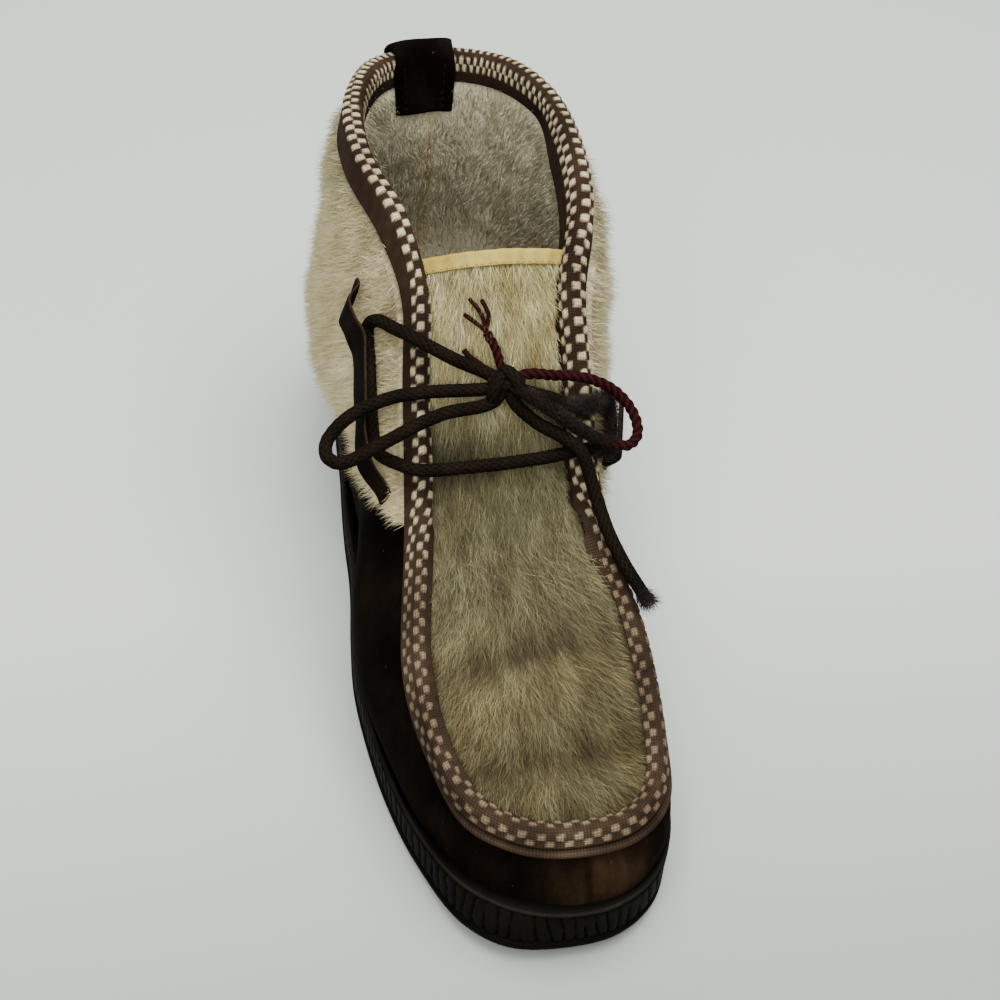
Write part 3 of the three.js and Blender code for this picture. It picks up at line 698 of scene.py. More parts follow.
def wall_frame(place, v):
    """The way up the wall and the way out of it."""
    across = wall(place + NEAR, v) - wall(place - NEAR, v)
    up = unit(wall(place, v + NEAR_UP) - wall(place, v - NEAR_UP))
    return up, unit(np.cross(across, up))


def on_wall(place, v, lift):
    _, normal = wall_frame(place, v)
    return wall(place, v) + normal * np.asarray(lift, float)[..., None]


def share_below_top(place, depth):
    """The share of the wall's height that lies a depth below its top edge; one column per place."""
    samples = np.linspace(1, 0, 41)
    length = run_lengths(wall(place[:, None], samples[None, :]))
    return np.stack([np.interp(d, l, samples) for d, l in zip(np.maximum(depth, 0), length)])


def beside_edge(place, depth, lift):
    """Points beside the top edge: place has one value a row, depth and lift a value for each column."""
    v = share_below_top(place, depth)
    spread = np.broadcast_to(place[:, None], depth.shape)
    points = on_wall(spread, v, lift)
    up, _ = wall_frame(spread, np.ones(depth.shape))
    return points + up * np.maximum(-depth, 0)[..., None]


print("collar is", round(float(top_edge(2.0)[2])), "mm high")


# %% [markdown]
# ## The moulded sole
# The cup sole is one moulding: a plain rim, a row of tyre-like blocks below it, a smooth foot and a tread.
# Blocks could be separate pieces set round the sole, but on a moulding they run into one another. So rings
# of points are stacked from the tread's edge to the rim and down to the cup's floor, and the rings between
# are pushed out where a block stands. Both sides have the same rows, so the tread is a grid from one side
# to the other.


# %% Rubber
def rubber_material():
    """Matt black rubber: dusty in soft patches, fine moulding grain, dull highlights."""
    return matt_material(
        "moulded_rubber_black",
        rough=0.65,
        gloss=0.03,
        flecks=(9, 6, 0.65),
        shades=(0.75, 1.3),
        relief=(0.25, 0.1),
        grain=(0.5, 3, 0.5),
    )


rubber = rubber_material()
print("finish:", rubber.name)

# %% Rings of the sole's side
SOLE_ROWS = 430
# Each ring: inset from the outline, height above the tread or below the rim
FOOT_RINGS = [(2.4, 0), (1.2, 0.5), (0.4, 1.4), (0.1, 2.4), (0.1, 3.6), (0.7, 4.1), (1.4, 4.3)]
RIM_RINGS = [(1.0, 1.2), (0.4, 1.05), (0.1, 0.85), (0, 0.6), (0.2, 0.3), (0.5, 0.12), (1.1, 0.03)]
CUP_CLEAR = 0.15


def even_rows(count):
    """Rows at even steps along the sole's outline, and how far along it they lie."""
    rows = np.linspace(0, TIP, 4000)
    length = run_lengths(sole_outline(rows))
    even = np.linspace(0, length[-1], count)
    return np.interp(even, length, rows), even


def sole_ring(place, inset, height, from_rim):
    edge = sole_outline(place) - outward(place) * np.asarray(inset)[..., None]
    along = along_of(edge)
    edge[..., 2] = sole_rim(along) - height if from_rim else sole_bottom(along) + height
    return edge


def cup_ring(place, height):
    """Points of the cup's inner face, close to the wall, at a height over the ground."""
    v = np.linspace(0, 0.6, 31)
    heights = wall(place[:, None], v[None, :])[..., 2]
    at = np.array([np.interp(h, z, v) for h, z in zip(height, heights)])
    return on_wall(place, at, CUP_CLEAR)


def rim_lean(place):
    """How far the rim draws in where the suede stands well inside it, so that the lip stays narrow."""
    outer = sole_outline(place)
    lip = np.linalg.norm((outer - cup_ring(place, sole_rim(along_of(outer))))[:, :2], axis=1)
    return 0.28 * np.maximum(lip - 2.6, 0) ** 1.5


print("the rim leans in by", rim_lean(np.array([TIP - 1.0])).round(1), "mm beside the toe")

# %% Blocks of the sole's side
RIB_PITCH = 4
RIB_DEPTH = 1.4
RIB_FLANK = 0.22  # softness of a block's flanks
RIB_FOOT = 0.3  # how far the gaps lie behind the foot and the rim
RIB_SLANT = 1.4  # millimetres that a block leans from its foot to its head
# The blocks between foot and rim: height as a share, how far they stand out, how wide the gaps are
BLOCKS = [
    (0.03, 0.4, 0.2), (0.08, 0.85, 0.12), (0.18, 1, 0.1), (0.35, 1, 0.09), (0.5, 1, 0.09), (0.66, 1, 0.09),
    (0.81, 1, 0.09), (0.91, 1, 0.1), (0.96, 0.9, 0.14), (0.99, 0.5, 0.3),
]
# Rubber shades: plain foot; rim, dusty with a painted highlight; painted shade on rim edges, gaps and cup
FOOT_SHADE, RIM_DUST_AND_HIGHLIGHT, RIM_EDGE_PAINTED_SHADE, DEEP_PAINTED_SHADE = 0.8, 2.8, 0.6, 0.25


def sole_side(place, phase):
    """Rings from the tread's edge over the rim to the cup's floor, with a shade for each point."""
    lean = rim_lean(place)
    rings = [(sole_ring(place, inset, height, False), FOOT_SHADE) for inset, height in FOOT_RINGS]
    low, high = rings[-1][0], sole_ring(place, RIM_RINGS[0][0] + lean, RIM_RINGS[0][1], True)
    for share, stand, gap in BLOCKS:
        wander = 0.5 * np.sin(phase / 7.3 + 2 * share) + 0.4 * np.sin(phase / 2.9 - 3 * share)
        across = np.abs(np.cos(np.pi * (phase + RIB_SLANT * share + wander) / RIB_PITCH))
        block = ease((across - gap) / RIB_FLANK)
        out = outward(place) * (block * RIB_DEPTH * stand - RIB_FOOT)[:, None]
        # painted shade in the gaps between the blocks
        rings.append((mix(low, high, share) + out, DEEP_PAINTED_SHADE + 0.7 * block))
    for inset, height in RIM_RINGS:
        # the rim's face is dusty with a painted highlight; its two edges get painted shade
        shade = RIM_DUST_AND_HIGHLIGHT if 0.1 < height < 1 else RIM_EDGE_PAINTED_SHADE
        rings.append((sole_ring(place, inset + lean, height, True), shade))
    rim, floor = rings[-1][0][:, 2], feather(place, CUP_CLEAR)
    # painted shade down inside the cup
    rings += [(cup_ring(place, mix(rim, floor[:, 2], share)), DEEP_PAINTED_SHADE) for share in (0, 0.5)]
    rings.append((floor, FOOT_SHADE))
    shades = [np.broadcast_to(shade, len(place)) for _, shade in rings]
    return np.stack([ring for ring, _ in rings], axis=1), np.stack(shades, axis=1)


side_rings = len(FOOT_RINGS + BLOCKS + RIM_RINGS) + 3  # three more go down inside the cup
print("the sole's side has", side_rings, "rings of", 2 * SOLE_ROWS - 2, "points")

# %% Tread and cup floor
TREAD_DEPTH, TREAD_GROOVE, TREAD_PITCH, TREAD_BORDER = 3, 4, 11, 8
TREADS = (0.072, 0.26), (0.54, 0.92)  # from and to along the sole: heel and forefoot
CAP_COLUMNS = 22
CAP_SHADE = 0.75
CUP_FLOOR = 0.1  # how far the cup's floor lies over the solids' floor


def groove_share(along, inner):
    """How far the tread is cut at a place: flat-bottomed bars with softened edges."""
    cut = np.zeros_like(along)
    pitch = TREAD_PITCH / SOLE_LENGTH
    for start, end in TREADS:
        for centre in start + pitch * np.arange(math.floor((end - start) / pitch) + 1):
            beside = np.abs(along - centre) * SOLE_LENGTH - TREAD_GROOVE / 2
            cut = np.maximum(cut, 1 - ease((beside + 0.5) / 0.9))
    return cut * ease((inner - TREAD_BORDER + 0.6) / 1.2)


def sole_cap(side, ring, start):
    """A grid across the sole from one half of a ring to the other, drawn to a point at heel and toe."""
    stations, count = side.shape[:2]
    index = np.arange(stations * count).reshape(stations, count)[:, ring]
    left = index[:SOLE_ROWS]
    right = np.concatenate([left[:1], index[SOLE_ROWS:][::-1], left[-1:]])
    shares = np.linspace(0, 1, CAP_COLUMNS)[1:-1]
    a, b = side.reshape(-1, 3)[left], side.reshape(-1, 3)[right]
    inner = a[:, None] + (b - a)[:, None] * shares[None, :, None]
    along = along_of(inner)
    if ring == 0:
        width = np.linalg.norm(b - a, axis=1)[:, None]
        from_edge = np.minimum(shares, 1 - shares)[None, :] * width + FOOT_RINGS[0][0]
        inner[..., 2] = sole_bottom(along) + TREAD_DEPTH * groove_share(along, from_edge)
    else:
        inner[..., 2] = sole_floor(along) + CUP_FLOOR
    inner = inner[1:-1]
    new = start + np.arange(inner[..., 0].size).reshape(inner.shape[:2])
    heel, toe = (np.full((1, CAP_COLUMNS - 2), left[k]) for k in (0, -1))
    grid = np.column_stack([left, np.vstack([heel, new, toe]), right])
    quads = grid.ravel()[grid_faces(*grid.shape)][:, [0, 3, 2, 1]]
    return inner.reshape(-1, 3), quads[:, ::-1] if ring == 0 else quads


print("the tread's grooves are", TREAD_DEPTH, "mm deep")


# %% The whole sole
def outsole_piece():
    rows, length = even_rows(SOLE_ROWS)
    place = np.concatenate([rows, SPANS - rows[-2:0:-1]])
    phase = np.concatenate([length, 2 * length[-1] - length[-2:0:-1]])
    side, shade = sole_side(place, phase)
    stations, rings = side.shape[:2]
    points, quads = side.reshape(-1, 3), grid_faces(stations, rings, True, False)[:, ::-1]
    for ring in (0, rings - 1):
        more_points, more_quads = sole_cap(side, ring, len(points))
        points, quads = np.vstack([points, more_points]), np.vstack([quads, more_quads])
    faces = [[*dict.fromkeys(quad)] for quad in quads.tolist()]  # at the poles two corners are one point
    piece = make_piece("outsole_moulding", points, faces, rubber)
    shade = np.concatenate([shade.ravel(), np.full(len(points) - shade.size, CAP_SHADE)])
    shade = shade * (1 + 0.22 * soft_noise(points, 22, 5))
    dust = ease((points[:, 2] - 4) / 12) * 0.25 * np.clip(soft_noise(points, 35, 6), 0, 1)
    colour = np.outer(np.clip(shade, 0.2, 3.5), linear("#080705")) + np.outer(dust, linear("#15120d"))
    colour[:, 3] = 1
    paint(piece, "tint", colour)
    return piece


attach(outsole_piece(), "sole_rubber", "outsole")

# %% [markdown]
# ## The suede wall
# Suede has a nap that shows streaks where it has been brushed one way or the other, and it scuffs paler at
# the toe. Panels sewn together would show seams that this boot doesn't have, so the wall is one closed
# shell from the sole to the top edge; soft puckers below the apron's seam and a short seam at the tip of
# the toe are pressed into it.


# %% Suede
def suede_material():
    """Napped leather: brushed streaks, a fibrous grain without gloss, and a few specks of lint."""
    material = matt_material(
        "suede_dark_brown",
        rough=0.95,
        gloss=0.02,
        flecks=(4.5, 7, 0.68),
        shades=(0.6, 1.65),
        relief=(0.6, 0.22),
        grain=(0.45, 4, 0.7),
        stretch=((0.5, 0.3, 0.2), (1, 1, 0.35)),
        span=(0.32, 0.7),
    )
    tree = material.node_tree
    base = tree.nodes["Principled BSDF"].inputs["Base Color"]
    place = node(tree, "ShaderNodeTexCoord").outputs["Object"]
    specks = node(tree, "ShaderNodeTexNoise", {"Vector": place, "Scale": 1 / (1.3 * MM), "Detail": 1})
    inputs = {"Value": specks.outputs["Fac"], "From Min": 0.79, "From Max": 0.83, "To Max": 0.15}
    lint = node(tree, "ShaderNodeMapRange", inputs)
    inputs = {"Factor": lint.outputs["Result"], 6: base.links[0].from_socket, 7: linear("#8a7f70")}
    dusted = node(tree, "ShaderNodeMix", inputs, data_type="RGBA")
    tree.links.new(dusted.outputs[2], base)
    return material


suede = suede_material()
print("finish:", suede.name)

# %% Wall shell
TOE_SEAM = 13.28  # its place on the loop
TOE_SEAM_DEPTH, PUCKER, SUEDE_LUMP = 0.75, 0.45, 0.3
PUCKERS = 3.3  # to a section
UPPER_STATIONS, OUTSIDE_ROWS, INSIDE_ROWS = 420, 36, 12


def suede_tint(points, place):
    nap = soft_noise(points, 26, 21) * 0.5 + soft_noise(points, 9, 22) * 0.5
    dark, light, scuff = (np.array(linear(h)) for h in ("#030201", "#0f0905", "#291d12"))
    colour = mix(dark, light, np.clip(0.3 + 0.7 * nap, 0, 1)[..., None])
    worn = bump(place, TOE_SEAM + 0.35, 0.75) * ease((points[..., 2] - 12) / 9)
    worn = worn * np.clip(0.7 + 0.5 * nap, 0, 1) * (1 - 0.85 * bump(place, TOE_SEAM, 0.05))
    colour = mix(colour, scuff, (0.8 * worn)[..., None])
    colour[..., 3] = 1
    return colour


def upper_piece():
    place = np.linspace(0, SPANS, UPPER_STATIONS, endpoint=False)
    spread, v = np.meshgrid(place, np.linspace(0, 1, OUTSIDE_ROWS), indexing="ij")
    free = ease(v / 0.12) * ease((1 - v) / 0.1)
    pucker = PUCKER * np.sin(2 * np.pi * spread * PUCKERS)
    pucker = pucker * ease((row_of(spread) - 8) / 1.5) * ease((v - 0.45) / 0.5)
    seam = TOE_SEAM_DEPTH * bump(spread, TOE_SEAM, 0.035)
    lump = SUEDE_LUMP * soft_noise(wall(spread, v), 24, 31)
    outside = on_wall(spread, v, (pucker - seam + lump) * free)
    outside[:, 0] = feather(place)
    spread, v = np.meshgrid(place, np.linspace(1, 0, INSIDE_ROWS), indexing="ij")
    inside = on_wall(spread, v, -WALL)
    inside[:, -1] = feather(place, -WALL)
    points = np.concatenate([outside, inside], axis=1)
    faces = grid_faces(*points.shape[:2], True, True)[:, ::-1]
    piece = make_piece("upper_suede", points, faces, suede)
    paint(piece, "tint", suede_tint(points, place[:, None]))
    return piece


attach(upper_piece(), "suede", "upper")

# %% [markdown]
# ## Fur
# Fur is a skin with tens of thousands of hairs. Blender's hair particles and hair curves would render
# well, but they aren't meshes, and an exported part has to keep its hairs. So the skin is a grid that
# knows, at each point, which way the hair lies, how long it is and its colour. A Geometry Nodes tree then
# plants a thin three-sided hair at random points of the skin, turned to the lay with a little scatter. The
# skin has a back, so that it is a closed plate. One tree serves every fur on the boot.

# %% Hair and underfur
TIP_SHADE = 1.15


def hair_material(name, rough, gloss, root, least, most):
    """Single hairs: painted shade towards the root, paler at the tip, each of its own tone, with a soft
    gloss.
    """
    material, tree, principled = new_material(name, rough, gloss)
    shades = []
    for attribute, low, high in (("tip", root, TIP_SHADE), ("tone", least, most)):
        given = node(tree, "ShaderNodeAttribute", attribute_name=attribute)
        inputs = {"Value": given.outputs["Fac"], "To Min": low, "To Max": high}
        shades.append(node(tree, "ShaderNodeMapRange", inputs).outputs["Result"])
    shade = node(tree, "ShaderNodeMath", {0: shades[0], 1: shades[1]}, operation="MULTIPLY")
    tree.links.new(shaded_tint(tree, shade.outputs["Value"]), principled.inputs["Base Color"])
    return material


def underfur_material():
    """The felted under-wool between the hairs: mottled, quite matt, and darker, as painted shade between
    them.
    """
    return matt_material(
        "wool_underfur", rough=0.95, gloss=0.5, flecks=(1.2, 5, 0.7), shades=(0.5, 1.0), relief=(0.8, 0.5)
    )


dry_hair = hair_material("shaft_fur_hair", 0.6, 0.2, 0.7, 0.72, 1.35)
glossy_hair = hair_material("apron_fur_hair", 0.5, 0.2, 0.35, 0.4, 1.75)
matted_hair = hair_material("lining_pile_hair", 0.7, 0.1, 0.75, 0.75, 1.25)
underfur = underfur_material()
print("finishes:", dry_hair.name, glossy_hair.name, matted_hair.name, underfur.name)


# %% Parts that trees share
def new_tree(name, sockets):
    """A Geometry Nodes tree with its named inputs, and the sockets that hold them inside it."""
    tree = bpy.data.node_groups.new(name, "GeometryNodeTree")
    for label, kind in {"Geometry": "Geometry", **sockets}.items():
        tree.interface.new_socket(label, in_out="INPUT", socket_type=f"NodeSocket{kind}")
    tree.interface.new_socket("Geometry", in_out="OUTPUT", socket_type="NodeSocketGeometry")
    return tree, node(tree, "NodeGroupInput").outputs


def made_real(tree, points, shape, rotation, scale, material, tone=None):
    """A shape at each point as real faces with their material, because the export drops instances."""
    inputs = {"Points": points, "Instance": shape, "Rotation": rotation, "Scale": scale}
    made = node(tree, "GeometryNodeInstanceOnPoints", inputs).outputs["Instances"]
    if tone:
        inputs = {"Geometry": made, "Name": "tone", "Value": tone}
        settings = {"data_type": "FLOAT", "domain": "INSTANCE"}
        made = node(tree, "GeometryNodeStoreNamedAttribute", inputs, **settings).outputs["Geometry"]
    made = node(tree, "GeometryNodeRealizeInstances", {"Geometry": made}).outputs["Geometry"]
    made = node(tree, "GeometryNodeSetShadeSmooth", {"Geometry": made}).outputs["Geometry"]
    inputs = {"Geometry": made, "Material": material}
    return node(tree, "GeometryNodeSetMaterial", inputs).outputs["Geometry"]


print("trees share", new_tree.__name__, "and", made_real.__name__)


# %% The tree that plants hairs
def hair_shape(tree):
    """A three-sided spike, one long and one in radius, that knows how far up it a point lies."""
    inputs = {"Vertices": 3, "Side Segments": 1, "Radius Top": 0.0, "Radius Bottom": 1.0, "Depth": 1.0}
    cone = node(tree, "GeometryNodeMeshCone", inputs, fill_type="NONE")
    height = node(tree, "ShaderNodeSeparateXYZ", {0: node(tree, "GeometryNodeInputPosition").outputs[0]})
    inputs = {"Geometry": cone.outputs["Mesh"], "Name": "tip", "Value": height.outputs["Z"]}
    settings = {"data_type": "FLOAT", "domain": "POINT"}
    return node(tree, "GeometryNodeStoreNamedAttribute", inputs, **settings).outputs["Geometry"]


def fur_tree():
    sockets = {"Hairs per square metre": "Float", "Hair radius": "Float", "Scatter": "Float"}
    sockets |= {"Seed": "Int", "Keep skin": "Bool", "Hair": "Material"}
    tree, given = new_tree("plant_hairs", sockets)
    painted = {}
    for name, kind in (("lay", "FLOAT_VECTOR"), ("pile", "FLOAT"), ("cover", "FLOAT")):
        reader = node(tree, "GeometryNodeInputNamedAttribute", {"Name": name}, data_type=kind)
        painted[name] = reader.outputs["Attribute"]
    inputs = {0: given["Hairs per square metre"], 1: painted["cover"]}
    density = node(tree, "ShaderNodeMath", inputs, operation="MULTIPLY")
    inputs = {"Mesh": given["Geometry"], "Density": density.outputs[0], "Seed": given["Seed"]}
    roots = node(tree, "GeometryNodeDistributePointsOnFaces", inputs)
    inputs = {0: (-1, -1, -1), 1: (1, 1, 1), "Seed": given["Seed"]}
    stray = node(tree, "FunctionNodeRandomValue", inputs, data_type="FLOAT_VECTOR")
    inputs = {0: stray.outputs[0], "Scale": given["Scatter"]}
    push = node(tree, "ShaderNodeVectorMath", inputs, operation="SCALE")
    aim = node(tree, "ShaderNodeVectorMath", {0: painted["lay"], 1: push.outputs[0]}, operation="ADD")
    turned = node(tree, "FunctionNodeAlignRotationToVector", {"Vector": aim.outputs[0]}, axis="Z")
    tone = node(tree, "FunctionNodeRandomValue", {2: 0.0, 3: 1.0, "Seed": 7}, data_type="FLOAT")
    longer = node(tree, "FunctionNodeRandomValue", {2: 0.6, 3: 1.15, "Seed": 8}, data_type="FLOAT")
    length = node(tree, "ShaderNodeMath", {0: painted["pile"], 1: longer.outputs[1]}, operation="MULTIPLY")
    radius = given["Hair radius"]
    size = node(tree, "ShaderNodeCombineXYZ", {0: radius, 1: radius, 2: length.outputs[0]})
    hairs = made_real(
        tree,
        roots.outputs["Points"],
        hair_shape(tree),
        turned.outputs[0],
        size.outputs[0],
        given["Hair"],
        tone.outputs[1],
    )
    inputs = {"Switch": given["Keep skin"], "True": given["Geometry"]}
    skin = node(tree, "GeometryNodeSwitch", inputs, input_type="GEOMETRY")
    both = node(tree, "GeometryNodeJoinGeometry")
    tree.links.new(hairs, both.inputs[0])
    tree.links.new(skin.outputs["Output"], both.inputs[0])
    node(tree, "NodeGroupOutput", {"Geometry": both.outputs["Geometry"]})
    return tree


plant_hairs = fur_tree()
print(plant_hairs.name, "has", len(plant_hairs.nodes), "nodes")


# %% Fur on a skin
def made_by(piece, tree, **values):
    """Runs a tree on a piece and keeps the result as its plain mesh."""
    modifier = piece.modifiers.new(tree.name, "NODES")
    modifier.node_group = tree
    sockets = {s.name: s.identifier for s in tree.interface.items_tree if s.in_out == "INPUT"}
    for name, value in values.items():
        modifier[sockets[name.replace("_", " ").capitalize()]] = value
    bpy.context.view_layer.update()
    mesh = bpy.data.meshes.new_from_object(piece.evaluated_get(bpy.context.evaluated_depsgraph_get()))
    piece.modifiers.remove(modifier)
    piece.data = mesh
    return piece


def furry(name, skin, back, lay, pile, cover, tint, hair, density, radius, scatter, seed):
    """Hairs on a skin with its back, a closed plate, or hairs alone where no back is given.

    Density is in hairs a square millimetre. The back is bare.
    """
    grid = skin.shape[:2]
    points, faces = (skin, grid_faces(*grid)) if back is None else shell(skin, back)
    piece = make_piece(name, points, faces, underfur)
    sheets = 1 if back is None else 2
    paint(piece, "lay", np.stack([lay] * sheets))
    paint(piece, "pile", np.stack([np.broadcast_to(pile, grid) * MM] * sheets))
    paint(piece, "cover", np.stack([np.broadcast_to(cover, grid), np.zeros(grid)][:sheets]))
    paint(piece, "tint", np.stack([tint] * sheets))
    return made_by(
        piece,
        plant_hairs,
        hairs_per_square_metre=density / MM**2,
        hair_radius=radius * MM,
        scatter=scatter,
        seed=seed,
        keep_skin=back is not None,
        hair=hair,
    )


print("fur grows on", underfur.name)

# %% [markdown]
# The quarters wrap the shaft from the back seam to the foot of the throat. Their hair falls down the shaft
# and stands off it, in locks a few millimetres wide that part and show the wool between, darker as painted
# shade. Each quarter is a skin laid over the wall, and soft noise sways the hair into locks.

# %% Fur quarters
FUR = 6.5
FUR_PILE = 6.2
TAPE_LEG = 6.5
FUR_FRONT = 22 / 3
BACK_SEAM = 0.03
QUARTER_ROWS, QUARTER_COLUMNS = 140, 48
TAB, TAB_WIDTH, TAB_SHIFT, TAB_INSIDE, TAB_OUTSIDE = 1.6, 21, 4, 18, 26
TAB_REACH = np.linalg.norm(top_edge(0.26) - top_edge(-0.26)) / 0.52  # millimetres a place at the back


def clear_of_tab(place, points, depth):
    """0 where the pull tab lies on the fur, down to a depth, and 1 elsewhere."""
    from_seam = (np.asarray(place) + TIP) % SPANS - TIP
    beside = np.abs(from_seam * TAB_REACH - TAB_SHIFT) - TAB_WIDTH / 2
    below = top_edge(place)[:, None, 2] - points[..., 2] - depth
    return np.maximum(ease(beside - 0.5)[:, None], ease(below))


def fur_lift(side, row):
    """How far the fur stands off the wall; it thins towards the throat."""
    return GAP + FUR * (0.35 + 0.65 * ease((FUR_FRONT - row) / (0.7 if side == LATERAL else 2.2)))


def quarter(name, side, cad_node, density, seed):
    row = np.linspace(BACK_SEAM, FUR_FRONT, QUARTER_ROWS)
    place = place_of(side, row)
    top = share_below_top(place, np.full((QUARTER_ROWS, 1), TAPE_LEG + 2 * GAP))
    bottom = np.minimum(wall_bow(place)[:, 2:3], top - 0.015)
    share = np.linspace(0, 1, QUARTER_COLUMNS)[None, :]
    v = bottom + (top - bottom) * share
    spread = np.broadcast_to(place[:, None], v.shape)
    edge = ease(share / 0.08) * ease((1 - share) / 0.05) * ease((FUR_FRONT - row) / 0.1)[:, None]
    under = wall(spread, v)
    cover = ease(edge * 3) * clear_of_tab(place, under, TAB_OUTSIDE)
    lump = soft_noise(under, 9, seed)
    lift = GAP + (fur_lift(side, row) - GAP)[:, None] * edge * (0.5 + 0.08 * lump)
    points, back = on_wall(spread, v, lift), on_wall(spread, v, GAP / 2)
    up, normal = wall_frame(spread, v)
    sway = [soft_noise(under, size, seed + k) for k, size in enumerate((5, 4, 16), 1)]
    lay = normal * (1.1 + 0.25 * sway[0])[..., None] - up * 0.65
    lay = lay + np.cross(up, normal) * (0.22 * sway[1] + 0.22 * sway[2])[..., None]
    lay = lay + normal * 0.5 * (1 - share)[..., None] ** 4
    locks = 0.5 + 0.16 * sway[0] + 0.16 * soft_noise(under, 13, seed + 9)
    tint = blend_colours(locks, "#ae9b74", "#dccda0", "#faedc6")
    # painted shade on the hair under the tape's edge, along the top of the quarter
    tint = tint * (1 - 0.4 * ease((share - 0.9) / 0.1))[..., None]
    pile = (FUR_PILE + 0.9 * lump) * (0.75 + 0.25 * ease((FUR_FRONT - row) / 0.5))[:, None]
    grids = (points, back, unit(lay), pile, cover, tint)
    grids = [values[:, ::side] for values in grids]  # keeps the faces outward on both sides
    attach(furry(name, *grids, dry_hair, density, 0.13, 0.6, seed), "shaft_fur", cad_node)


quarter("fur_quarter_lateral", LATERAL, "quarter_lateral", 3.9, 41)
quarter("fur_quarter_medial", MEDIAL, "quarter_medial", 3.2, 61)

# %% [markdown]
# ## Apron and tongue
# One panel of smoother fur fills the apron over the toes and runs on under the lace as the tongue. Its
# hair lies flat, towards the toe, and fans out to the sides; a few soft folds cross it where the foot
# bends. Cloth simulation could drape such a panel, but the photo shows where each fold lies, so the folds
# are placed on a sheet that hangs between the two sides of the top edge.

# %% Sheet under the lace
APRON = 3.2
APRON_SINK, TONGUE_SINK = 3.6, 8
TAPE = 1.5
SHEET_FRONT, SINK_FROM, SINK_TO, TONGUE_TOP = 12, 8.4, 7.6, 4.4
# Folds across the apron: row, width in rows, height in millimetres
FOLDS = [(8.93, 0.2, -1.2), (9.35, 0.22, 0.5), (9.8, 0.28, 0.6), (10.3, 0.22, -1.2), (10.75, 0.28, 0.5)]
FOLD_SLANT = -0.3  # rows that a fold runs up towards the medial side


def sheet_sink(row):
    return ease((SINK_FROM - row) / (SINK_FROM - SINK_TO))


def sheet_edge(side, row):
    sink = sheet_sink(row)
    inward = WALL + mix(2 * GAP, TAPE + 5 * GAP, sink)
    depth = mix(APRON_SINK, TONGUE_SINK, sink)
    return beside_edge(place_of(side, row), depth[:, None], -inward[:, None])[:, 0]


def sheet(row, share):
    """Points of the sheet's upper face with the way up it, across it and out of it."""
    left, right = sheet_edge(LATERAL, row), sheet_edge(MEDIAL, row)
    run = unit(sheet_edge(LATERAL, row - 0.05) + sheet_edge(MEDIAL, row - 0.05) - left - right)
    across = right - left
    normal = unit(np.cross(across, run))
    arch = mix(0.09, 0.2, sheet_sink(row)) * ease((SHEET_FRONT + 0.3 - row) / 1.5)
    crown = arch * np.linalg.norm(across, axis=1)
    rise = crown[:, None] * (1 - (2 * share - 1) ** 2)[None, :]
    points = left[:, None] + across[:, None] * share[None, :, None] + normal[:, None] * rise[..., None]
    return points, run, unit(across), normal


print("the tongue's top lies at", sheet(np.array([TONGUE_TOP]), np.array([0.5]))[0][0, 0].round(), "mm")

# %% Folds and colours of apron and tongue
APRON_ROWS, APRON_COLUMNS = 130, 56
SKIN_SINK = 1.9  # how far the skin lies under the sheet, to leave room for the hair
FOLD_HEIGHT = 1.3
APRON_PILE, TONGUE_PILE = 8.5, 10
WARM, COOL = np.array([1.12, 0.95, 0.8, 1]), np.array([0.05, 0.14, 0.24, 0])


def apron_folds(row, share):
    """Soft folds across the apron, in millimetres, that fade out towards its sides."""
    middle = (1 - (2 * share - 1) ** 2) ** 0.7
    slanted = row - FOLD_SLANT * (share - 0.5)
    return sum(height * bump(slanted, centre, width) for centre, width, height in FOLDS) * middle


def apron_lift(row, share, fold, lump):
    """How far the skin lies over the sheet: low at its edges, raised where the tape would leave a gap."""
    border = ease(share / 0.03) * ease((1 - share) / 0.03)
    ends = ease((SHEET_FRONT - row) / 0.05) * ease((row - TONGUE_TOP) / 0.03)
    close_up = 3 * bump(row, 8.05, 0.45) * np.abs(2 * share - 1) ** 4
    close_up = close_up + 3.8 * bump(row, 7.75, 0.65) * share**6
    close_up = close_up + 1.4 * ease((row - 8.3) / 0.4) * share**10
    return -SKIN_SINK + fold + 0.2 * lump - (1 - border * ends) * 1.1 + close_up


def on_tongue(row):
    return ease((6.7 - row) / 1.2)


def apron_tint(row, share, fold, sway, streak):
    """Olive-beige with warm patches, cooler towards the lace, cream on the tongue; painted light and shade.
    """
    # the folds paint a highlight on their ridges and shade in their creases
    locks = 0.5 + 0.07 * sway[0] + 0.05 * sway[1] + 0.27 * fold / FOLD_HEIGHT + 0.17 * streak
    apron = blend_colours(locks, "#51472f", "#867a56", "#aea57a")
    apron = mix(apron, apron * WARM, 0.3 * np.clip(0.3 + sway[1], 0, 1)[..., None])
    apron = apron + apron * COOL * ease((9.3 - row) / 0.9)[..., None]
    tongue = blend_colours(locks + 0.12 * streak, "#ac9760", "#ecdea2", "#fff7cf")
    # a painted shadow under the lace, heavier on the lateral side
    painted_lace_shadow = 0.68 * bump(row, 6.6, 0.3) * ease((0.8 - share) / 0.6)
    toe_end = 0.15 * ease((row - 9.3) / 0.5)
    return mix(apron, tongue, on_tongue(row)[..., None]) * (1 - painted_lace_shadow - toe_end)[..., None]


print("folds rise by up to", max(height for _, _, height in FOLDS), "mm")


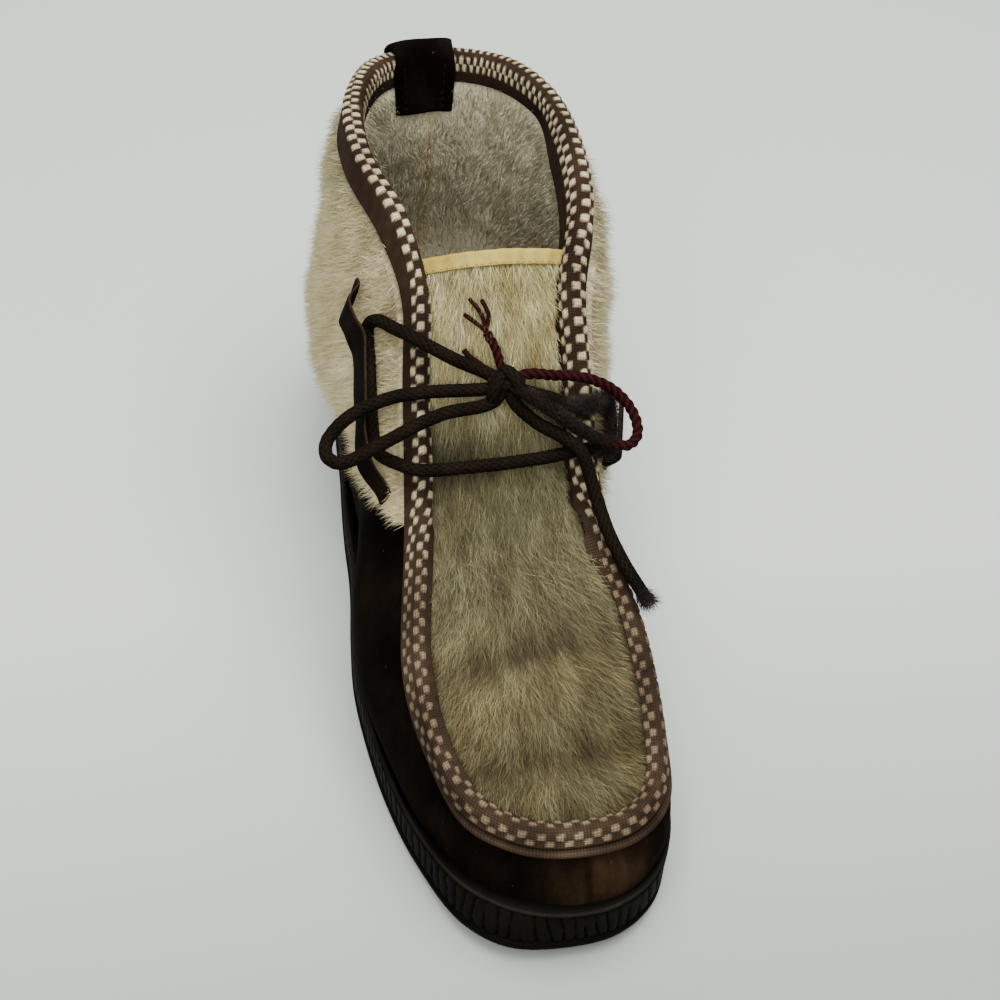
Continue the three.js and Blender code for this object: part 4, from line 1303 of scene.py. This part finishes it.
# %% The whole apron
def apron_piece():
    row, share = np.linspace(SHEET_FRONT, TONGUE_TOP, APRON_ROWS), np.linspace(0, 1, APRON_COLUMNS)
    points, run, across, normal = sheet(row, share)
    run, across, normal = run[:, None], across[:, None], normal[:, None]
    down = run_lengths(points[:, APRON_COLUMNS // 2])[:, None]
    width = np.linalg.norm(points[:, -1] - points[:, 0], axis=1)[:, None]
    row, share = row[:, None], share[None, :]
    fold = apron_folds(row, share)
    lift = apron_lift(row, share, fold, soft_noise(points, 12, 71))
    sway = [soft_noise(points, size, seed) for size, seed in ((4, 72), (14, 73), (6, 74))]
    combed = np.broadcast_arrays((share - 0.5) * width, down / 7, 0)  # streaks run seven times as far
    streak = soft_noise(np.stack(combed, axis=-1), 1.9, 76)
    inner = ease(np.minimum(share, 1 - share) * width / 9) * ease((SHEET_FRONT - row) / 0.9)
    fan = (share - 0.5) * 1.5 * ease((row - 7.5) / 1.5)
    rise = 0.28 + 0.1 * sway[2] + 0.12 * fold / FOLD_HEIGHT + 0.5 * (1 - inner)
    lay = across * (fan + 0.14 * sway[0] + 0.1 * sway[1])[..., None] - run + normal * rise[..., None]
    skin = points + normal * lift[..., None]
    back = points + normal * np.minimum(lift - 0.5, -APRON)[..., None]
    pile = mix(APRON_PILE, TONGUE_PILE, on_tongue(row)) * mix(0.42, 1, inner)
    cover = np.pad(np.ones((APRON_ROWS - 2, APRON_COLUMNS - 2)), 1)
    tint = apron_tint(row, share, fold, sway, streak)
    hair = (glossy_hair, 5, 0.115, 0.4, 75)
    return furry("fur_apron_tongue", skin, back, unit(lay), pile, cover, tint, *hair)


attach(apron_piece(), "apron_fur", "apron_tongue")

# %% [markdown]
# ## Lining and footbed
# Inside, the shaft is lined with matted pile. It is the same kind of fur as outside, only short and
# pressed every way, so the same tree plants it on a skin just inside the wall. The footbed is hidden deep
# in the boot, so it is a plain felted plate without hairs.

# %% Lining
LINING_ROWS, LINING_COLUMNS = 160, 44
LINING_FRONT = 7.3
LINING_PILE = 3.4


def wrapped(row):
    """1 where the tape is folded over the collar, 0 where it lies round the apron."""
    return ease((7.9 - row) / 0.9)


def lining_piece():
    place = np.linspace(-LINING_FRONT, LINING_FRONT, LINING_ROWS)
    depth = mix(3.6, 5.4, wrapped(row_of(place)))
    top = share_below_top(place, depth[:, None])
    bottom = np.clip(top - 0.76, 0.13, None)
    share = np.linspace(0, 1, LINING_COLUMNS)[None, :]
    v = bottom + (top - bottom) * share
    spread = np.broadcast_to(place[:, None], v.shape)
    under = wall(spread, v)
    lump = soft_noise(under, 8, 81)
    ends = ease(share / 0.03) * ease((1 - share) / 0.07)
    points = on_wall(spread, v, -WALL - 0.25 - (0.9 + 0.35 * lump) * ends)
    back = on_wall(spread, v, -WALL - 0.1)
    up, normal = wall_frame(spread, v)
    sway = [soft_noise(under, size, seed) for size, seed in ((4, 82), (5, 83), (18, 84))]
    lay = -normal * 0.4 - up * (0.35 * sway[0] + 0.55)[..., None]
    lay = lay + np.cross(up, normal) * (0.35 * sway[1] + 0.3 * sway[2])[..., None]
    tint = blend_colours(0.47 + 0.1 * lump + 0.12 * sway[2], "#c2b994", "#e0d8b6", "#efe9d2")
    seam = bump(place, 0, 0.05)[:, None] * ease((0.85 - share) / 0.05)
    tint = mix(tint, np.array(linear("#c9ac66")), (0.75 * seam)[..., None])
    sparse = 0.2 + 0.8 * ease((share - 0.25) / 0.15)  # few hairs deep inside
    cover = ends * clear_of_tab(place, points, TAB_INSIDE + 1) * sparse
    hair = (matted_hair, 2, 0.16, 0.5, 85)
    return furry("lining_pile", points, back, unit(lay), LINING_PILE, cover, tint, *hair)


attach(lining_piece(), "lining_pile")

# %% Footbed
FOOTBED = 4
FOOTBED_ROWS, FOOTBED_COLUMNS = 90, 20
FOOTBED_CLEAR = WALL + 2 * GAP


def footbed_layer(row, thick):
    """A grid from one side of the boot to the other, at a height over the sole's floor."""
    rails = []
    for side in (MEDIAL, LATERAL):
        place = place_of(side, row)
        share = thick / (top_edge(place)[:, 2] - feather(place)[:, 2])
        rails.append(on_wall(place, share, -FOOTBED_CLEAR) if thick else feather(place, -FOOTBED_CLEAR))
    across = np.linspace(0, 1, FOOTBED_COLUMNS)[None, :, None]
    points = mix(rails[0][:, None], rails[1][:, None], across)
    points[..., 2] = sole_floor(along_of(points)) + GAP + thick
    return points


def footbed_piece():
    row = np.linspace(0.02, TIP - 0.02, FOOTBED_ROWS)
    upper, lower = footbed_layer(row, FOOTBED), footbed_layer(row, 0)
    upper[:, 1:-1, 2] += 0.4 * soft_noise(upper[:, 1:-1], 9, 91)
    points, faces = shell(upper, lower)
    piece = make_piece("footbed_pile", points, faces, underfur)
    felt = 0.5 + 0.3 * soft_noise(points, 9, 92)
    paint(piece, "tint", blend_colours(felt, "#6f6958", "#a19a86", "#c4bca8"))
    return piece


attach(footbed_piece(), "lining_pile", "insole")

# %% [markdown]
# ## The woven tape
# The tape is a narrow band of cloth folded over the top edge, with two double columns of pale checks in a
# brown ground. The checks could be a pattern in the material, but weave this coarse shows as relief, so
# they are raised in the mesh: each point knows how far across and how far along the band it lies, and that
# gives it its height and its colour. Only the fine threads are left to the material.

# %% Tape material
RIB_SPACING, THREAD_SPACING = 0.95, 0.7
WAVE = 0.314  # how far one band of a wave texture of scale 1 reaches


def tape_material():
    """Cotton tape: ribs across it about a millimetre apart, crossed by finer threads, quite matt."""
    material, tree, principled = new_material("woven_cotton_tape", 0.95, 0.08)
    cloth = node(tree, "ShaderNodeUVMap", uv_map="cloth").outputs["UV"]
    waves = []
    for direction, spacing in (("X", RIB_SPACING), ("Y", THREAD_SPACING)):
        inputs = {"Vector": cloth, "Scale": WAVE / spacing, "Distortion": 0.6, "Detail": 1}
        waves.append(node(tree, "ShaderNodeTexWave", inputs, bands_direction=direction).outputs["Fac"])
    inputs = {0: waves[0], 1: waves[1]}
    threads = node(tree, "ShaderNodeMath", inputs, operation="MULTIPLY").outputs["Value"]
    shade = node(tree, "ShaderNodeMapRange", {"Value": threads, "To Min": 0.6, "To Max": 1.3})
    relief = node(tree, "ShaderNodeBump", {"Height": threads, "Strength": 0.6, "Distance": 0.2 * MM})
    tree.links.new(shaded_tint(tree, shade.outputs["Result"]), principled.inputs["Base Color"])
    tree.links.new(relief.outputs["Normal"], principled.inputs["Normal"])
    return material


tape_cloth = tape_material()
print("finish:", tape_cloth.name)

# %% The tape's section
INNER_LEG, APRON_LEG = 9.5, 3.6
# Along the lateral side, by rows: how far the tape's edge leans out over the fur
LEANS = (1.4, 2.6, 4, 5.2, 7, 7.8), (0, 2.2, 2.2, 1.2, 0.8, 0)
TAPE_CLEAR = 1.8 * GAP


def tape_line(place):
    """The tape's middle line in its section: lift and depth of four corners, for each place."""
    row = row_of(place)
    wrap = wrapped(row)
    medial = place > TIP
    flared = medial * ease((row - 2) / 1.2) * ease((7.8 - row) / 0.8)
    leaning = np.interp(row, *LEANS) * (place < TIP)
    turn = mix(0.55 * np.pi, np.pi, wrap) - 0.14 * np.pi * flared
    leg = mix(APRON_LEG, INNER_LEG, wrap) + 1.2 * flared + 4 * medial * bump(row, 8.05, 0.35)
    over = mix(0.75 * WALL, WALL + 2 * TAPE_CLEAR + TAPE, wrap)
    middle = np.full_like(place, TAPE_CLEAR + TAPE / 2)
    corner = np.stack([middle, -middle], axis=-1)
    inside = corner + np.stack([-np.sin(turn / 2), -np.cos(turn / 2)], axis=-1) * over[:, None]
    outer_end = np.stack([middle + leaning, np.full_like(place, TAPE_LEG)], axis=-1)
    inner_end = inside + np.stack([-np.sin(turn), -np.cos(turn)], axis=-1) * leg[:, None]
    return np.stack([outer_end, corner, inside, inner_end], axis=1)


def soften(rows, passes):
    """Wears the corners off rows of values; the first and the last row stay."""
    for _ in range(passes):
        rows[1:-1] = 0.25 * rows[:-2] + 0.5 * rows[1:-1] + 0.25 * rows[2:]


def rounded(corners, count, passes):
    """Even points along each polyline of a stack, with its corners worn round."""
    share = np.linspace(0, 1, count)
    lines = []
    for corner, length in zip(corners, run_lengths(corners)):
        lines.append(np.stack([np.interp(share * length[-1], length, c) for c in corner.T], axis=-1))
    lines = np.stack(lines)
    soften(lines.swapaxes(0, 1), passes)
    return lines


def line_normals(lines):
    run = unit(np.gradient(lines, axis=1))
    return np.stack([-run[..., 1], run[..., 0]], axis=-1)


print("the tape's edge leans out by up to", max(LEANS[1]), "mm")

# %% The tape's repeats
# The checks stand closer together round the back of the collar: repeat in millimetres at rows of the loop
REPEAT_ROWS, REPEATS = (0, 1, 2, 3, 5), (2.7, 2.6, 3.8, 4.8, 5.4)
# Columns of checks, in millimetres from the tape's outer edge: from and to where it wraps the collar,
# from and to where it lies round the apron, shift in repeats
CHECK_COLUMNS = [
    (5.6, 8.1, 3.9, 6, 0),
    (8.1, 10.6, 6, 8.1, 0.5),
    (12.2, 14.7, 9.6, 11.5, 0),
    (14.7, 17.2, 11.5, 13.2, 0.5),
]
# Along the lateral side, by rows: how far the checks lie further out
SLIDES = (1.4, 2.6, 4, 5.2, 7, 7.9, 10.1, 11), (0, -1.6, -1.6, 0.8, 1.4, 2.8, 2.8, 0)
TAPE_STATIONS, TAPE_COLUMNS, UNDER_COLUMNS = 1250, 38, 8


def tape_layout():
    """Along the tape: length, place on the loop, section lines, and repeats counted at each point."""
    fine = np.linspace(0, SPANS, 6001)
    length = run_lengths(top_edge(fine))
    u = np.linspace(0, length[-1], TAPE_STATIONS, endpoint=False)
    place = np.interp(u, length, fine)
    lines = rounded(tape_line(place), TAPE_COLUMNS, 6)
    tangent = unit(top_edge(place + 0.01) - top_edge(place - 0.01))[:, None]
    off_edge = beside_edge(place, lines[..., 1], lines[..., 0]) - top_edge(place)[:, None]
    slip = (off_edge * tangent).sum(-1)
    repeats = np.diff(length) / np.interp(row_of(fine[1:]), REPEAT_ROWS, REPEATS)
    counted = np.concatenate([[0], np.cumsum(repeats)])
    counted = counted * round(counted[-1]) / counted[-1]
    return u, place, lines, np.interp((u[:, None] + slip) % length[-1], length, counted)


tape_run = tape_layout()
print("the tape has", round(tape_run[3].max()), "repeats of checks round the boot")

# %% Checks, relief and colours of the tape
CHECK_RISE = 0.38
CHECK_EDGE = 0.35  # softness of a check's edges
PIPING = 2.3  # width of the rolled edge at the toe
PIPING_GROOVE = 2.7  # where it meets the flat tape
TAPE_BASE = TAPE / 2 - 0.25
# Tones of ground and checks: round the collar, and dusty round the apron
COLLAR_GROUND, COLLAR_PALE = ("#1b120b", "#281c13", "#38291c"), ("#8b7c60", "#b3a483", "#ccbf9f")
APRON_GROUND, APRON_PALE = ("#231912", "#33271c", "#433628"), ("#584a39", "#6e5d49", "#84735d")


def tape_checks(place, w, turns, loose):
    """1 on a check and 0 on the ground, with edges that wander a little."""
    row = row_of(place)[:, None]
    wrap = wrapped(row)
    slide = np.interp(row, *SLIDES) * (place < TIP)[:, None]
    w = w + 0.2 * loose
    check = np.zeros_like(w)
    for wrap_start, wrap_end, apron_start, apron_end, shift in CHECK_COLUMNS:
        start, end = mix(apron_start, wrap_start, wrap) - slide, mix(apron_end, wrap_end, wrap) - slide
        inside = ease((w - start) / CHECK_EDGE) * ease((end - w) / CHECK_EDGE)
        block = 0.5 + 0.5 * np.cos(2 * np.pi * (turns + 0.03 * loose + shift))
        check = np.maximum(check, inside * ease((block - 0.48) / 0.3))
    return check


def at_toe(row):
    return ease((row - 10.2) / 1.1)


def tape_height(place, w, check):
    """Height of the tape's face: raised checks, a rolled edge at the toe, and a slight wave."""
    piping = np.sqrt(np.clip(1 - ((w - PIPING / 2) / (PIPING / 2)) ** 2, 0, 1))
    roll = 0.9 * piping - 0.8 * bump(w, PIPING_GROOVE, 0.4)
    wave = 0.25 * soft_noise(top_edge(place)[:, None] + w[..., None] * np.array([0.3, 0.2, 0.5]), 16, 95)
    return TAPE_BASE + CHECK_RISE * check**0.7 + at_toe(row_of(place))[:, None] * roll + wave


def tape_tint(points, row, w, check):
    """Colours of the tape's face, and of its ground alone."""
    fray = 0.5 + 0.3 * (soft_noise(points, 11, 96) + 0.5 * soft_noise(points, 2.2, 97))
    dust = ease((row - 6.6) / 2.2)[..., None]
    ground = mix(blend_colours(fray, *COLLAR_GROUND), blend_colours(fray, *APRON_GROUND), dust)
    pale = mix(blend_colours(fray, *COLLAR_PALE), blend_colours(fray, *APRON_PALE), dust)
    tint = mix(ground, pale, check[..., None]) * (1 + 0.15 * ease((row - 10.6) / 0.9))[..., None]
    # painted shade in the groove where the rolled edge meets the flat tape; darker too towards the inner
    # edge
    groove_painted_shade = 0.75 * bump(w, PIPING_GROOVE, 0.45) * at_toe(row)
    dark = np.clip(groove_painted_shade + 0.35 * ease((w - 17.6) / 0.5), 0, 1)
    tint[..., :3] *= (1 - dark)[..., None]
    return tint, ground


print("the checks stand", CHECK_RISE, "mm over their ground")


# %% The whole tape
def tape_piece():
    u, place, lines, turns = tape_run
    w = run_lengths(lines)
    out = line_normals(lines)
    loose = soft_noise(np.stack(np.broadcast_arrays(u[:, None], w, 0), axis=-1), 1.3, 98)
    check = tape_checks(place, w, turns, loose)
    outer = lines + out * tape_height(place, w, check)[..., None]
    keep = np.linspace(0, TAPE_COLUMNS - 1, UNDER_COLUMNS).round().astype(int)[::-1]
    under = (lines - out * TAPE_BASE)[:, keep]
    ring = np.concatenate([outer, under], axis=1)
    points = beside_edge(place, ring[..., 1], ring[..., 0])
    faces = grid_faces(*points.shape[:2], True, True)[:, ::-1]
    piece = make_piece("binding_tape_woven", points, faces, tape_cloth)
    tint, ground = tape_tint(points[:, :TAPE_COLUMNS], row_of(place)[:, None], w, check)
    paint(piece, "tint", np.concatenate([tint, np.repeat(ground[:, -1:], UNDER_COLUMNS, axis=1)], axis=1))
    across = np.concatenate([w, w[:, keep]], axis=1)
    cloth = np.stack(np.broadcast_arrays(u[:, None], across), axis=-1).reshape(-1, 2)
    corners = np.empty(len(piece.data.loops), int)
    piece.data.loops.foreach_get("vertex_index", corners)
    piece.data.uv_layers.new(name="cloth").data.foreach_set("uv", cloth[corners].ravel())
    return piece


attach(tape_piece(), "woven_tape", "binding_tape")

# %% [markdown]
# ## Hem, pull tab and keepers
# These are strips of leather: a pale one folded over the tongue's top edge, a suede strap folded over the
# back of the collar, and dark keepers that stand off the fur so that the lace can pass under. A plane with
# Solidify and Bevel would do for a flat strip; these bend over edges, so each is a path with a rounded flat
# section swept along it.

# %% Strips of leather and the pull tab
TAB_ROWS = 90
TAB_BEND = 1.4
TAB_WIDENS = 0.24  # at its inner end


def flat_section(width, thick, count):
    """A flat section with round edges: places across and up, counted round it."""
    half = np.linspace(-1, 1, count)
    edge = (thick / 2) * np.sqrt(np.clip(1 - np.abs(half) ** 8, 0.02, 1))
    across = np.concatenate([half, half[::-1]]) * width / 2
    return across, np.concatenate([edge, -edge[::-1]])


def swept(points, other_way=False):
    """A closed strip from sections of points that are counted round one way or the other."""
    faces = tube_faces(*points.shape[:2])
    return points, faces if other_way else [face[::-1] for face in faces]


def tab_piece():
    inside, on_tape, on_fur = -WALL - TAPE - 3 * GAP, TAPE + 3 * GAP, FUR + 4 * GAP
    shoulder = -TAPE - 2.5 * GAP
    fold = shoulder - TAB_BEND
    strap = np.array(
        [
            [inside, TAB_INSIDE], [inside, TAB_INSIDE / 2], [inside, shoulder], [inside + TAB_BEND, fold],
            [on_tape - TAB_BEND, fold], [on_tape, shoulder], [on_tape + 1, TAPE_LEG - 2.5],
            [on_fur, TAPE_LEG], [on_fur, (TAPE_LEG + TAB_OUTSIDE) / 2], [on_fur, TAB_OUTSIDE],
        ]
    )
    line = rounded(strap[None], TAB_ROWS, 5)
    out = -line_normals(line)[0][:, None]
    middle = line[0][:, None] + out * TAB / 2
    across, up = flat_section(TAB_WIDTH, TAB, 24)
    lift = middle[..., 0] + out[..., 0] * up
    depth = middle[..., 1] + out[..., 1] * up
    wave = 0.25 * np.sin(across / 2.6 + np.arange(TAB_ROWS)[:, None] / 13)
    depth, lift = depth + 0.5 * wave, lift + 0.3 * wave * out[..., 0]
    points = beside_edge((TAB_SHIFT + across) / TAB_REACH, depth.T, lift.T).transpose(1, 0, 2)
    centre = points.mean(axis=1, keepdims=True)
    wider = 1 + TAB_WIDENS * ease((0.42 - np.linspace(0, 1, TAB_ROWS)) / 0.2)
    points = centre + (points - centre) * wider[:, None, None]
    piece = make_piece("pull_tab_strap", *swept(points), suede)
    nap = 0.45 + 0.4 * soft_noise(points, 8, 101)
    paint(piece, "tint", blend_colours(nap, "#030201", "#070403", "#0f0a07"))
    return piece


attach(tab_piece(), "suede", "pull_tab")

# %% Keepers
KEEPER = 1.5
KEEPER_ROWS = 90
# Along a keeper: share of its length, how far it stands off the fur, how far its loops open
STRIP = np.array(
    [
        [0, 0, 0], [0.04, 0, 0], [0.09, 0.75, 0.3], [0.14, 1, 0.55], [0.27, 1, 0.4], [0.36, 1, 0],
        [0.65, 1, 0], [0.76, 1, 0.35], [0.86, 1, 0.35], [0.92, 0.7, 0], [0.96, 0, 0], [1, 0, 0],
    ]
)


def keeper_piece(name, side, rows, depths, width, opened):
    """A keeper between two rows, with its depths below the edge there; opened is 1 or 0."""
    share = np.linspace(0, 1, KEEPER_ROWS)
    stand, loop = (np.interp(share, STRIP[:, 0], STRIP[:, k]) for k in (1, 2))
    soften(stand, 6)
    soften(loop, 6)
    row = mix(*rows, share)
    lift = fur_lift(side, row) + 2 * GAP + (stand + opened * loop) * (LACE + 2 * GAP) + KEEPER / 2
    across, up = flat_section(width, KEEPER, 14)
    ragged = 0.25 * np.sin(row * 9)[:, None] * np.sign(across)
    taper = 1 - 0.35 * opened * ease((share - 0.45) / 0.3)
    depth = mix(*depths, share)[:, None] + across * taper[:, None] + ragged
    points = beside_edge(place_of(side, row), depth, lift[:, None] + up)
    piece = make_piece(name, *swept(points, side == LATERAL), keeper_leather)
    cut = np.broadcast_to(np.abs(across) > width / 2 - 0.3, depth.shape)[..., None]
    grain = 0.4 + 0.3 * soft_noise(points, 5, 103)
    cut_tint = blend_colours(np.full(depth.shape, 0.5), "#1c140f", "#33271e")
    paint(piece, "tint", np.where(cut, cut_tint, blend_colours(grain, "#050302", "#0c0705", "#1a110b")))
    return piece


lateral = keeper_piece("keeper_strip_lateral", LATERAL, (4.05, 6.95), (24, 12), 9, 1)
attach(lateral, "keeper_leather", "keeper_lateral")
medial = keeper_piece("keeper_strip_medial", MEDIAL, (6.03, 6.8), (8.5, 8), 5, 0)
attach(medial, "keeper_leather", "keeper_medial")

# %% Hem of the tongue
HEM = 1
HEM_REACH = 0.17  # rows that the hem covers
HEM_COLUMNS = 90
hem_leather = fibre_material("hem_leather_cream", 2.2, 0.7, 0.15, 0.1)


def hem_piece():
    share = np.linspace(0, 1, HEM_COLUMNS)
    foot = sheet(np.array([TONGUE_TOP + HEM_REACH]), share)[0][0]
    head, _, _, normal = (values[0] for values in sheet(np.array([TONGUE_TOP]), share))
    leg = np.linalg.norm(head - foot, axis=1).mean()
    half = GAP + HEM / 2
    corners = np.array([[[-leg, half], [half, half], [half, -APRON - half], [-leg, -APRON - half]]])
    line = rounded(corners, 40, 4)
    out = line_normals(line)[0]
    ring = np.concatenate([line[0] + out * HEM / 2, (line[0] - out * HEM / 2)[::-1]])
    crinkle = 0.22 * np.sin(share * 61) + 0.2 * np.sin(share * 23 + 1)
    points = head[:, None] + unit(head - foot)[:, None] * ring[None, :, :1]
    points = points + normal * (ring[None, :, 1:] + crinkle[:, None, None])
    piece = make_piece("tongue_hem_strip", *swept(points), hem_leather)
    grain = 0.5 + 0.4 * soft_noise(points, 12, 107)
    paint(piece, "tint", blend_colours(grain, "#867033", "#9b8642", "#a99855"))
    return piece, points


hem, hem_points = hem_piece()
attach(hem, "hem_leather", "tongue_hem")

# %% [markdown]
# ## Stitches
# A row of stitches is one small shape repeated along a line. Each could be placed by an Array modifier that
# follows a curve; a Geometry Nodes tree does it for any number of lines at once: the line is resampled at
# the stitch's pitch, and a short capsule is set along it at each point.

# %% The tree that sews
thread = fibre_material("sewing_thread", 0.4, 0.8, 0.45, 0.05)


def stitch_tree():
    sockets = {"Pitch": "Float", "Stitch length": "Float", "Thread radius": "Float", "Thread": "Material"}
    tree, given = new_tree("stitch_row", sockets)
    curve = node(tree, "GeometryNodeMeshToCurve", {"Mesh": given["Geometry"]})
    inputs = {"Curve": curve.outputs["Curve"], "Length": given["Pitch"]}
    spaced = node(tree, "GeometryNodeResampleCurve", inputs, mode="LENGTH")
    tangent = node(tree, "GeometryNodeInputTangent")
    turned = node(tree, "FunctionNodeAlignRotationToVector", {"Vector": tangent.outputs[0]}, axis="X")
    half = node(tree, "ShaderNodeMath", {0: given["Stitch length"], 1: 0.5}, operation="MULTIPLY")
    radius = given["Thread radius"]
    size = node(tree, "ShaderNodeCombineXYZ", {0: half.outputs[0], 1: radius, 2: radius})
    capsule = node(tree, "GeometryNodeMeshUVSphere", {"Segments": 8, "Rings": 6, "Radius": 1.0})
    sewn = made_real(
        tree,
        spaced.outputs["Curve"],
        capsule.outputs["Mesh"],
        turned.outputs[0],
        size.outputs[0],
        given["Thread"],
    )
    node(tree, "NodeGroupOutput", {"Geometry": sewn})
    return tree


stitch_row = stitch_tree()
print(stitch_row.name, "has", len(stitch_row.nodes), "nodes")


# %% Stitch rows
def stitches(name, lines, slot, colour, pitch, length, radius):
    """Rows of stitches along lines of points."""
    edges, start = [], 0
    for line in lines:
        edges += [[start + k, start + k + 1] for k in range(len(line) - 1)]
        start += len(line)
    piece = made_by(
        make_piece(name, np.vstack(lines), [], edges=edges),
        stitch_row,
        pitch=pitch * MM,
        stitch_length=length * MM,
        thread_radius=radius * MM,
        thread=thread,
    )
    paint(piece, "tint", np.tile(linear(colour), (len(piece.data.vertices), 1)))
    attach(piece, slot)


def tab_rows():
    """Two rows across the strap's inner end and one down each side of it."""
    across = np.linspace(-TAB_WIDTH / 2 + 2, TAB_WIDTH / 2 - 2, 30)
    down = np.linspace(TAB_INSIDE - 2, 2, 20)
    rows = [(across, np.full(30, depth)) for depth in (TAB_INSIDE - 2, TAB_INSIDE - 4.5)]
    rows += [(np.full(20, edge), down) for edge in (across[0], across[-1])]
    inside = -WALL - TAPE - 3 * GAP - TAB + 0.1
    lines = []
    for beside, depth in rows:
        place = (TAB_SHIFT + beside) / TAB_REACH
        lines.append(beside_edge(place, depth[:, None], np.full((len(place), 1), inside))[:, 0])
    return lines


stitches("hem_stitches", [hem_points[:, 2]], "hem_leather", "#9a8148", 2.2, 1.5, 0.22)
stitches("tab_stitches", tab_rows(), "suede", "#120b07", 2.6, 1.9, 0.22)

# %% [markdown]
# ## Worn lace
# Where the lace rubs on the medial keeper its cover has frayed into a dark fuzz, the bow beside it has a
# little, and the long end has opened into a small brush. A rough material wouldn't change the lace's
# outline. All three are hairs planted round the lace, so the fur tree makes them.

# %% Fuzz on the lace
FUZZ_SIDES = 10
WEAR_CENTRE, WEAR_REACH = np.array([38, -99.5, 95.5]), 17
BOW_WEAR = 0.68, 0.95  # from and to, as shares of the medial loop
BRUSH_POINTS = 10


def fuzz_piece(name, path, pile, density, seed, forward):
    """Hairs round a stretch of lace; forward is how far they lie along it."""
    ring = circles(path, np.linspace(0, 2 * np.pi, FUZZ_SIDES + 1)[None, :])
    points = path[:, None] + ring * (LACE / 2 - 0.3)
    along = unit(np.gradient(path, axis=0))[:, None]
    sway = np.stack([soft_noise(points, 4, seed + k) for k in range(3)], axis=-1)
    lay = unit(ring * (1 - forward) + along * forward + 0.5 * sway)
    tint = blend_colours(0.5 + 0.4 * sway[..., 0], "#0a0605", "#1c130f", "#3a2b23")
    attach(furry(name, points, None, lay, pile, 1, tint, dry_hair, density, 0.07, 0.7, seed), "lace_cord")


worn = np.linalg.norm(run_path - WEAR_CENTRE, axis=1) < WEAR_REACH
fuzz_piece("lace_fuzz_medial", run_path[worn], 3.4, 9, 111, 0.15)
bow_path = bow_paths["lace_bow_medial"]
first, last = (int(share * len(bow_path)) for share in BOW_WEAR)
fuzz_piece("lace_fuzz_bow", bow_path[first:last], 2.2, 5, 131, 0.2)
fuzz_piece("lace_tail_brush", bow_paths["lace_tail"][-BRUSH_POINTS:], 4.5, 14, 121, 0.8)

# %% [markdown]
# ## Floor and light
# The boot stands on a plain pale floor in soft light, as in a light tent: a bright even surround, one large
# soft lamp above, and a weaker one from the front left. A surround alone would be flat, and lamps alone too
# hard, so they share the work.

# %% Stage
FLOOR_REACH = 3000


def floor_piece():
    """Backdrop paper: matt, with painted shade that makes it a little darker where it comes nearer."""
    material, tree, principled = new_material("paper_backdrop", 0.9, 0.5)
    place = node(tree, "ShaderNodeSeparateXYZ", {0: node(tree, "ShaderNodeTexCoord").outputs["Object"]})
    inputs = {"Value": place.outputs["Y"], "From Min": -0.08, "From Max": -0.25}
    nearer_painted_shade = node(tree, "ShaderNodeMapRange", inputs)
    inputs = {"Factor": nearer_painted_shade.outputs["Result"], 6: linear("#babfba"), 7: linear("#959993")}
    paper = node(tree, "ShaderNodeMix", inputs, data_type="RGBA")
    tree.links.new(paper.outputs[2], principled.inputs["Base Color"])
    corners = [(x * FLOOR_REACH, y * FLOOR_REACH, 0) for x, y in ((-1, -1), (1, -1), (1, 1), (-1, 1))]
    make_piece("floor", corners, [[0, 1, 2, 3]], material)


def lamp(name, place, aim, power, size):
    data = bpy.data.lights.new(name, "AREA")
    data.energy = power
    data.size = size
    light = bpy.data.objects.new(name, data)
    light.location = place
    light.rotation_euler = (Vector(aim) - Vector(place)).to_track_quat("-Z", "Y").to_euler()
    bpy.context.scene.collection.objects.link(light)


floor_piece()
lamp("top_softbox", (0.1, -0.1, 1.3), (0, -0.08, 0.05), 34, 1.0)
lamp("front_softbox", (-0.4, -0.95, 1.1), (0, -0.1, 0.05), 16, 0.8)
world = bpy.data.worlds.new("light_tent")
bpy.context.scene.world = world
world.use_nodes = True
surround = world.node_tree.nodes["Background"].inputs
surround["Color"].default_value = linear("#e6ebe7")
surround["Strength"].default_value = 0.8
print("stage: a floor, two lamps and the surround", world.name)
